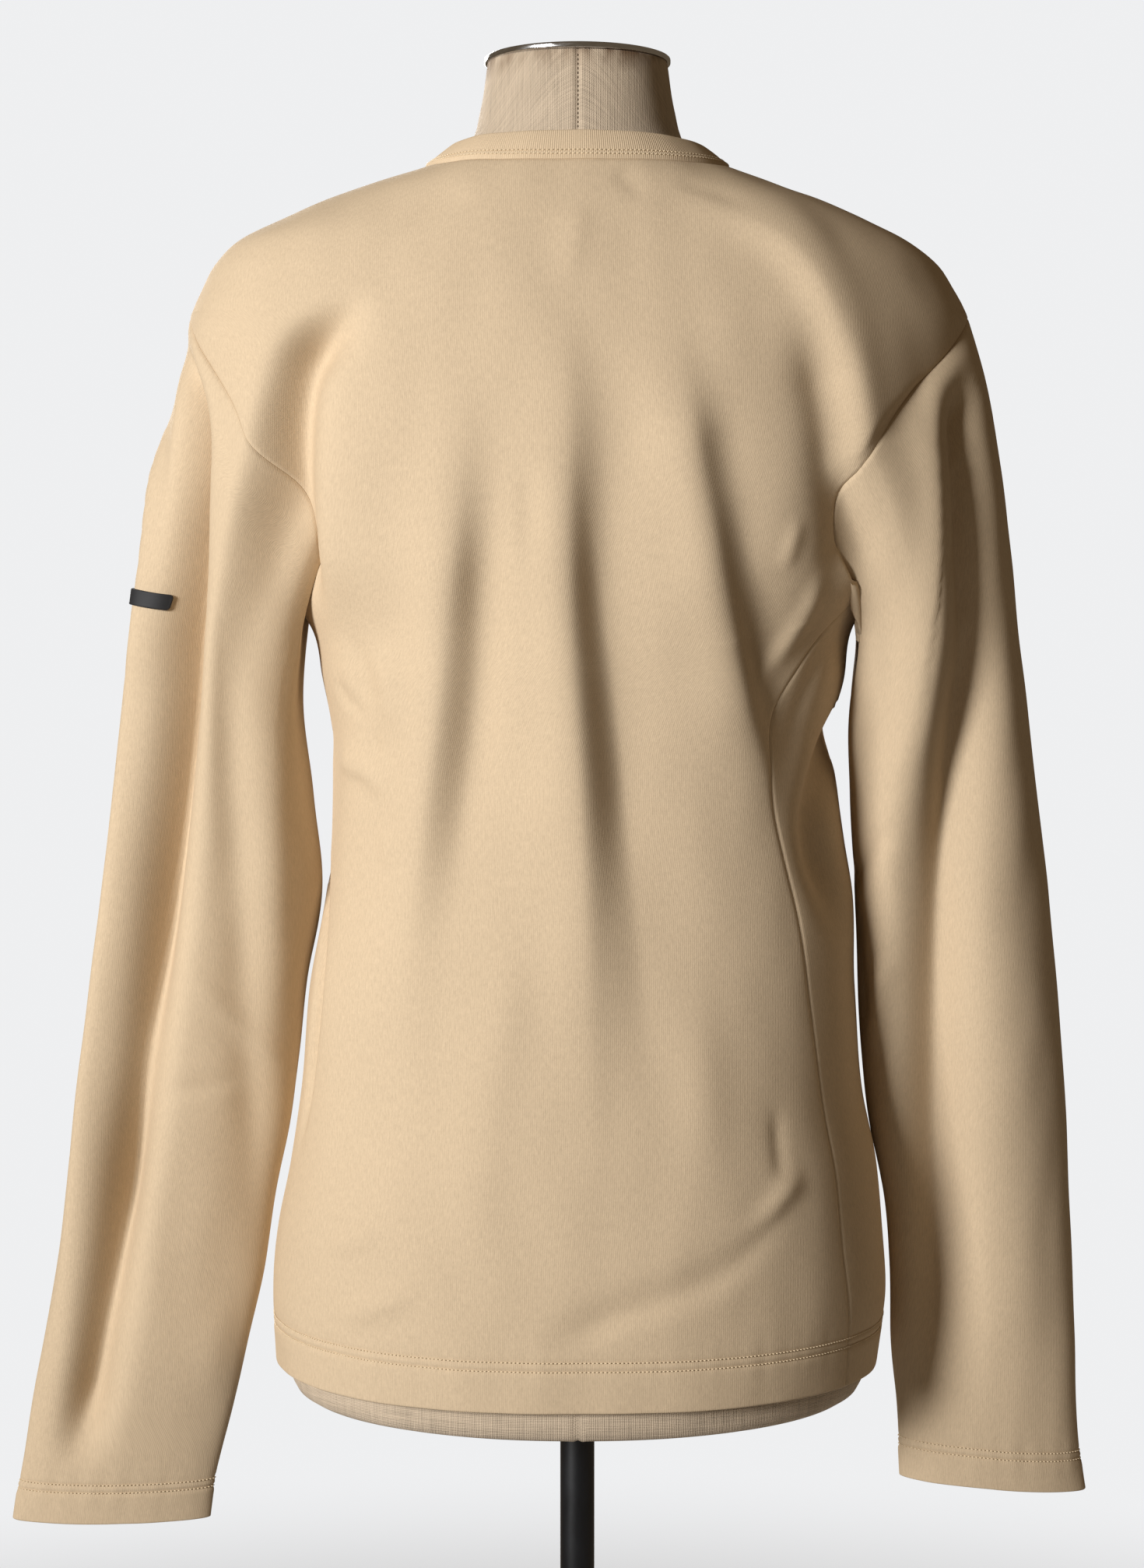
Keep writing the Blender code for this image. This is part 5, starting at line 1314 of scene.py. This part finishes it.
def linen_finish(form):
    """Plain-weave linen with slubs, and faint brown marks around the top of the neck."""
    colour = form.linen_colour
    make = Finish("Natural linen", 0.88, Sheen_Weight=0.1, Specular_IOR_Level=0.25)
    lengths = make.lengths()
    warp = make.band(lengths, form.weave_pitch, "X", 1.1)
    weft = make.band(lengths, form.weave_pitch, "Y", 1.1)
    weave = make.combine("ADD", warp, weft)
    slub_up = make.cloud(make.lengths(1, 0.05, 1), 700, 2.0, 0.6)
    slub_across = make.cloud(make.lengths(0.05, 1, 1), 700, 2.0, 0.6)
    slubs = make.combine("ADD", slub_up, slub_across)
    cloudy = make.cloud(make.space(), 18, 4.0, 0.6)
    shade = make.sum(make.sum(make.sum(slubs, weave, 0.22), cloudy, 0.5), slub_across, 0.2)
    woven = make.shades(make.remap(shade, 1.0, 2.0),
                        (0.0, tone(colour, 0.66)), (0.5, colour), (1.0, tone(colour, 1.22)))
    high = make.node("SeparateXYZ", [("Vector", make.space())]).outputs[2]
    edge = make.remap(high, STAIN_FROM, FORM[-1, 0])
    blot = make.remap(make.cloud(make.space(1, 1, 0.5), 55, 3.0, 0.6), 0.42, 0.66)
    cloth = make.blend(make.combine("MULTIPLY", edge, blot), woven, form.stain_colour)
    height = make.sum(make.sum(weave, slubs, 1.2), cloudy, 0.4)
    return make.done(cloth, make.relief(height, 0.00022, 0.8))


def chrome_finish(form):
    """Polished chrome with faint rubbed patches."""
    make = Finish("Polished chrome", form.chrome_roughness, Metallic=1.0)
    wear = make.cloud(make.space(1, 1, 4), 120, 4.0, 0.6)
    rough = make.remap(wear, 0.3, 0.75, form.chrome_roughness * 0.7, form.chrome_roughness * 2.2)
    return make.done(make.shades(wear, (0.3, (0.62, 0.62, 0.63)), (0.7, (0.74, 0.74, 0.75))),
                     make.relief(make.cloud(make.space(), 900, 2.0), 0.00002, 0.3), rough)


def paint_finish(form):
    """Black satin paint with a faint orange peel and slightly rubbed patches."""
    make = Finish("Satin black paint", 0.36, Coat_Weight=0.15, Coat_Roughness=0.3, Specular_IOR_Level=0.5)
    peel = make.cloud(make.space(), 420, 2.0)
    rub = make.cloud(make.space(1, 1, 0.35), 30, 4.0, 0.65)
    rough = make.remap(rub, 0.3, 0.75, 0.3, 0.5)
    coat = make.shades(rub, (0.35, tone(form.paint_colour, 0.8)), (0.75, tone(form.paint_colour, 1.6)))
    return make.done(coat, make.relief(peel, 0.00006, 0.4), rough)


# ---------------------------------------------------------------- settings
def size_of(name, description, default, precision=5):
    """A size that a user can change."""
    return FloatProperty(name=name, description=description, default=default,
                         precision=precision, unit="LENGTH")


def colour_of(name, description, default):
    """A colour that a user can change."""
    return FloatVectorProperty(name=name, description=description, default=default,
                               subtype="COLOR", min=0, max=1)


class ShirtCloth(bpy.types.PropertyGroup):
    """Sizes and colours of the cloth that a user would change."""
    creases: FloatProperty(name="Creases", description="Depth of the finer creases against the usual",
                           default=1.0, min=0.0, max=2.0)
    wale_pitch: size_of("Wale pitch", "Distance between two knitted columns of the jersey", 0.00108)
    rib_pitch: size_of("Rib pitch", "Distance between two ribs of the neckband", 0.00115)
    rib_depth: size_of("Rib depth", "Height of the neckband's ribs", 0.00016)
    stitch_pitch: size_of("Stitch pitch", "Distance between two stitches of a hem", 0.00215)
    stitch_length: size_of("Stitch length", "Length of the thread that shows in a stitch", 0.0015)
    thread_radius: size_of("Thread radius", "Half the thickness of the sewing thread", 0.00030)
    jersey_colour: colour_of("Jersey colour", "Dye of the panels, sleeves and neckband", (0.60, 0.465, 0.312))
    thread_colour: colour_of("Thread colour", "Colour of the sewing thread", (0.74, 0.59, 0.39))
    tab_colour: colour_of("Tab colour", "Colour of the woven tab", (0.008, 0.008, 0.010))


class FormLook(bpy.types.PropertyGroup):
    """Finish of the dress form and its stand."""
    weave_pitch: size_of("Weave pitch", "Distance between two threads of the linen", 0.00095)
    linen_colour: colour_of("Linen colour", "Colour of the form's cover", (0.56, 0.45, 0.33))
    stain_colour: colour_of("Stain colour", "Colour of the marks near the neck's top", (0.16, 0.09, 0.045))
    chrome_roughness: FloatProperty(name="Chrome roughness", description="Roughness of the neck plate",
                                    default=0.12, min=0, max=1)
    paint_colour: colour_of("Paint colour", "Paint of the pole and base", (0.004, 0.005, 0.007))


class StudioSetup(bpy.types.PropertyGroup):
    """Camera, light and backdrop."""
    camera_distance: size_of("Camera distance", "Distance of the camera behind the pole", 1.55, 2)
    camera_height: size_of("Camera height", "Height of the camera above the floor", 1.14, 2)
    camera_tilt: FloatProperty(name="Camera tilt", description="How far the camera looks down",
                               default=math.radians(3.767), subtype="ANGLE")
    field_of_view: FloatProperty(name="Field of view", description="Angle over the picture's height",
                                 default=2 * math.atan(PICTURE_HALF_HEIGHT / PICTURE_FOCUS), subtype="ANGLE")
    key_power: FloatProperty(name="Key light", description="Power of the large light on the wearer's left",
                             default=16.0, unit="POWER")
    fill_power: FloatProperty(name="Fill light", description="Power of the light on the garment's front",
                              default=11.0, unit="POWER")
    ambient: FloatProperty(name="Ambient light", description="Strength of the light from all around",
                           default=0.12, min=0)
    backdrop: colour_of("Backdrop", "Colour of the backdrop", (0.86, 0.865, 0.875))
    floor_radius: size_of("Floor radius", "Radius of the pale floor", 2.2, 2)


# ---------------------------------------------------------------- operators
class TSHIRT_OT_panels(bpy.types.Operator):
    """Make the back and front panels with their hems and seams"""
    bl_idname = "tshirt.panels"
    bl_label = "Back and front"

    def execute(self, context):
        cloth = context.scene.shirt_cloth
        for face, flat, area in (("back", (0.47, 0.66), 0.252), ("front", (0.56, 0.63), 0.297)):
            mesh = panel_mesh(face, face, cloth.creases)
            piece = put(mesh, jersey_finish(cloth), "jersey", face + "_panel")
        return {"FINISHED"}


class TSHIRT_OT_sleeves(bpy.types.Operator):
    """Make the two sleeves with their turned-up cuffs"""
    bl_idname = "tshirt.sleeves"
    bl_label = "Sleeves"

    def execute(self, context):
        cloth = context.scene.shirt_cloth
        for side, word in ((1, "left"), (-1, "right")):
            mesh = sleeve_mesh(word + "_sleeve", side, cloth.creases)
            piece = put(mesh, jersey_finish(cloth), "jersey", "sleeve_" + word)
        return {"FINISHED"}


class TSHIRT_OT_neckband(bpy.types.Operator):
    """Make the ribbed neckband"""
    bl_idname = "tshirt.neckband"
    bl_label = "Neckband"

    def execute(self, context):
        cloth = context.scene.shirt_cloth
        mesh = neckband_mesh("collar_rib", cloth.creases, cloth.rib_pitch, cloth.rib_depth)
        piece = put(mesh, rib_finish(cloth), "rib", "neckband")
        return {"FINISHED"}


class TSHIRT_OT_tab(bpy.types.Operator):
    """Make the small bare woven tab on the left sleeve"""
    bl_idname = "tshirt.tab"
    bl_label = "Sleeve tab"

    def execute(self, context):
        cloth = context.scene.shirt_cloth
        put(tab_mesh("sleeve_tab", cloth.creases), tab_finish(cloth), "tab", "sleeve_label")
        return {"FINISHED"}


class TSHIRT_OT_stitching(bpy.types.Operator):
    """Sew the twin-needle rows of the hem and cuffs and the rows along the neckband"""
    bl_idname = "tshirt.stitching"
    bl_label = "Stitching"

    def execute(self, context):
        cloth = context.scene.shirt_cloth
        finish = thread_finish(cloth)

        def hemmed(name, shells, heights):
            sewn = [stitches(*path_at_height(shell, height, STITCH_LIFT),
                             cloth.stitch_pitch, cloth.stitch_length, cloth.thread_radius)
                    for shell in shells for height in heights]
            put(thread_mesh(name, sewn), finish, "jersey")

        hemmed("hem_stitches", [panel_shell(face, cloth.creases) for face in ("back", "front")], HEM_ROWS)
        hemmed("left_cuff_stitches", [sleeve_shell(1, cloth.creases)], CUFF_ROWS)
        hemmed("right_cuff_stitches", [sleeve_shell(-1, cloth.creases)], CUFF_ROWS)
        ring, rise, normals = (looped(values) for values in band_frame(cloth.creases, BAND_PATH_POINTS))
        sewn = [stitches(ring + rise * height + normals * BAND_STITCH_LIFT, normals,
                         BAND_STITCH_PITCH, BAND_STITCH_LENGTH, cloth.thread_radius) for height in BAND_ROWS]
        put(thread_mesh("neckband_stitches", sewn), finish, "rib")
        return {"FINISHED"}


class TSHIRT_OT_form(bpy.types.Operator):
    """Cover the dress form in linen, with its centre-back seam"""
    bl_idname = "tshirt.form"
    bl_label = "Dress form"

    def execute(self, context):
        look = context.scene.form_look
        put(form_mesh("form_cover"), linen_finish(look), "linen", "dress_form")
        path = form_point(0 * FORM_SEAM_HEIGHTS, FORM_SEAM_HEIGHTS) - (0, FORM_SEAM_SUNK, 0)
        facing = np.tile((0.0, 1.0, 0.0), (len(path), 1))
        sewn = stitches(path, facing, FORM_STITCH_PITCH, FORM_STITCH_LENGTH, FORM_THREAD_RADIUS)
        put(thread_mesh("form_seam_stitches", [sewn]), seam_thread_finish(), "linen")
        return {"FINISHED"}


class TSHIRT_OT_stand(bpy.types.Operator):
    """Finish the neck plate, the pole and the base"""
    bl_idname = "tshirt.stand"
    bl_label = "Neck plate, pole and base"

    def execute(self, context):
        look = context.scene.form_look
        plate = turned_mesh("neck_plate", plate_profile(), columns=128, ahead=CAP_AHEAD)
        put(plate, chrome_finish(look), "cap", "neck_cap")
        paint = paint_finish(look)
        put(turned_mesh("stand_pole", pole_profile(), columns=64), paint, "stand", "pole")
        put(turned_mesh("stand_base", base_profile(), columns=128), paint, "stand", "base")
        return {"FINISHED"}


class TSHIRT_OT_stage(bpy.types.Operator):
    """Set the camera, the lights, the pale floor and the backdrop"""
    bl_idname = "tshirt.stage"
    bl_label = "Stage"

    def execute(self, context):
        studio = context.scene.studio_setup
        scene = context.scene
        lens = bpy.data.cameras.new("Camera")
        lens.angle = studio.field_of_view
        camera = bpy.data.objects.new("Camera", lens)
        camera.location = (CAMERA_ASIDE, studio.camera_distance, studio.camera_height)
        camera.rotation_euler = (math.pi / 2 - studio.camera_tilt, 0, math.pi)
        lens.clip_start, lens.clip_end = 0.05, 50
        scene.collection.objects.link(camera)
        scene.camera = camera
        for name, place, size, power in (
                ("Key light", KEY_LIGHT_AT, KEY_LIGHT_SIZE, studio.key_power),
                ("Front light", FILL_LIGHT_AT, FILL_LIGHT_SIZE, studio.fill_power)):
            light = bpy.data.lights.new(name, "AREA")
            light.size, light.energy, light.spread = size, power, LIGHT_SPREAD
            lamp = bpy.data.objects.new(name, light)
            lamp.location = place
            lamp.rotation_euler = (Vector(LIGHT_AIM) - Vector(place)).to_track_quat("-Z", "Y").to_euler()
            scene.collection.objects.link(lamp)
        self.light_room(scene, studio)
        self.lay_floor(scene, studio)
        scene.view_settings.view_transform = "Standard"
        return {"FINISHED"}

    def light_room(self, scene, studio):
        """A pale backdrop for the camera alone, and a weak warm light from all around on the object."""
        world = bpy.data.worlds.new("Studio")
        scene.world = world
        world.use_nodes = True
        nodes, links = world.node_tree.nodes, world.node_tree.links
        seen, ambient = nodes["Background"], nodes.new("ShaderNodeBackground")
        seen.inputs["Color"].default_value = (*studio.backdrop, 1)
        ambient.inputs["Color"].default_value = (*AMBIENT_COLOUR, 1)
        ambient.inputs["Strength"].default_value = studio.ambient
        ray, mix = nodes.new("ShaderNodeLightPath"), nodes.new("ShaderNodeMixShader")
        links.new(ray.outputs["Is Camera Ray"], mix.inputs["Fac"])
        links.new(ambient.outputs[0], mix.inputs[1])
        links.new(seen.outputs[0], mix.inputs[2])
        links.new(mix.outputs[0], nodes["World Output"].inputs["Surface"])

    def lay_floor(self, scene, studio):
        """A pale round floor that fades out before its edge."""
        turns = turns_round(FLOOR_SIDES)
        ring = places(np.sin(turns), np.cos(turns), 0) * studio.floor_radius
        mesh = bpy.data.meshes.new("floor")
        mesh.from_pydata(ring[::-1].tolist(), [], [list(range(FLOOR_SIDES))])
        make = Finish("Pale floor", 0.7)
        away = make.node("VectorMath", [(0, make.space())], operation="LENGTH").outputs["Value"]
        fade = make.node("MapRange", [("Value", away)], interpolation_type="SMOOTHSTEP",
                         From_Min=studio.floor_radius * 0.35, From_Max=studio.floor_radius * 0.95,
                         To_Min=1.0, To_Max=0.0).outputs[0]
        make.join(fade, make.shader.inputs["Alpha"])
        speck = make.cloud(make.space(), 40, 3.0)
        pale = make.shades(speck, (0.2, (0.80, 0.805, 0.81)), (0.8, (0.83, 0.835, 0.84)))
        mesh.materials.append(make.done(pale))
        floor = bpy.data.objects.new("floor", mesh)
        scene.collection.objects.link(floor)


# ---------------------------------------------------------------- panel and registration
OPERATORS = (TSHIRT_OT_stage, TSHIRT_OT_panels, TSHIRT_OT_sleeves, TSHIRT_OT_neckband, TSHIRT_OT_tab,
             TSHIRT_OT_stitching, TSHIRT_OT_form, TSHIRT_OT_stand)


class TSHIRT_PT_pieces(bpy.types.Panel):
    """Lists the t-shirt's pieces and settings"""
    bl_idname = "TSHIRT_PT_pieces"
    bl_label = "T-shirt on a form"
    bl_space_type = "VIEW_3D"
    bl_region_type = "UI"
    bl_category = "T-shirt"

    def draw(self, context):
        for operator in OPERATORS:
            self.layout.operator(operator.bl_idname)
        for group in (context.scene.shirt_cloth, context.scene.form_look, context.scene.studio_setup):
            box = self.layout.box()
            for name in group.__annotations__:
                box.prop(group, name)


CLASSES = (ShirtCloth, FormLook, StudioSetup, *OPERATORS, TSHIRT_PT_pieces)


def register():
    for kind in CLASSES:
        bpy.utils.register_class(kind)
    bpy.types.Scene.shirt_cloth = PointerProperty(type=ShirtCloth)
    bpy.types.Scene.form_look = PointerProperty(type=FormLook)
    bpy.types.Scene.studio_setup = PointerProperty(type=StudioSetup)


def unregister():
    del bpy.types.Scene.shirt_cloth, bpy.types.Scene.form_look, bpy.types.Scene.studio_setup
    for kind in reversed(CLASSES):
        bpy.utils.unregister_class(kind)


def main():
    register()
    bpy.ops.tshirt.stage()
    bpy.ops.tshirt.panels()
    bpy.ops.tshirt.sleeves()
    bpy.ops.tshirt.neckband()
    bpy.ops.tshirt.tab()
    bpy.ops.tshirt.stitching()
    bpy.ops.tshirt.form()
    bpy.ops.tshirt.stand()


if __name__ == "__main__":
    main()
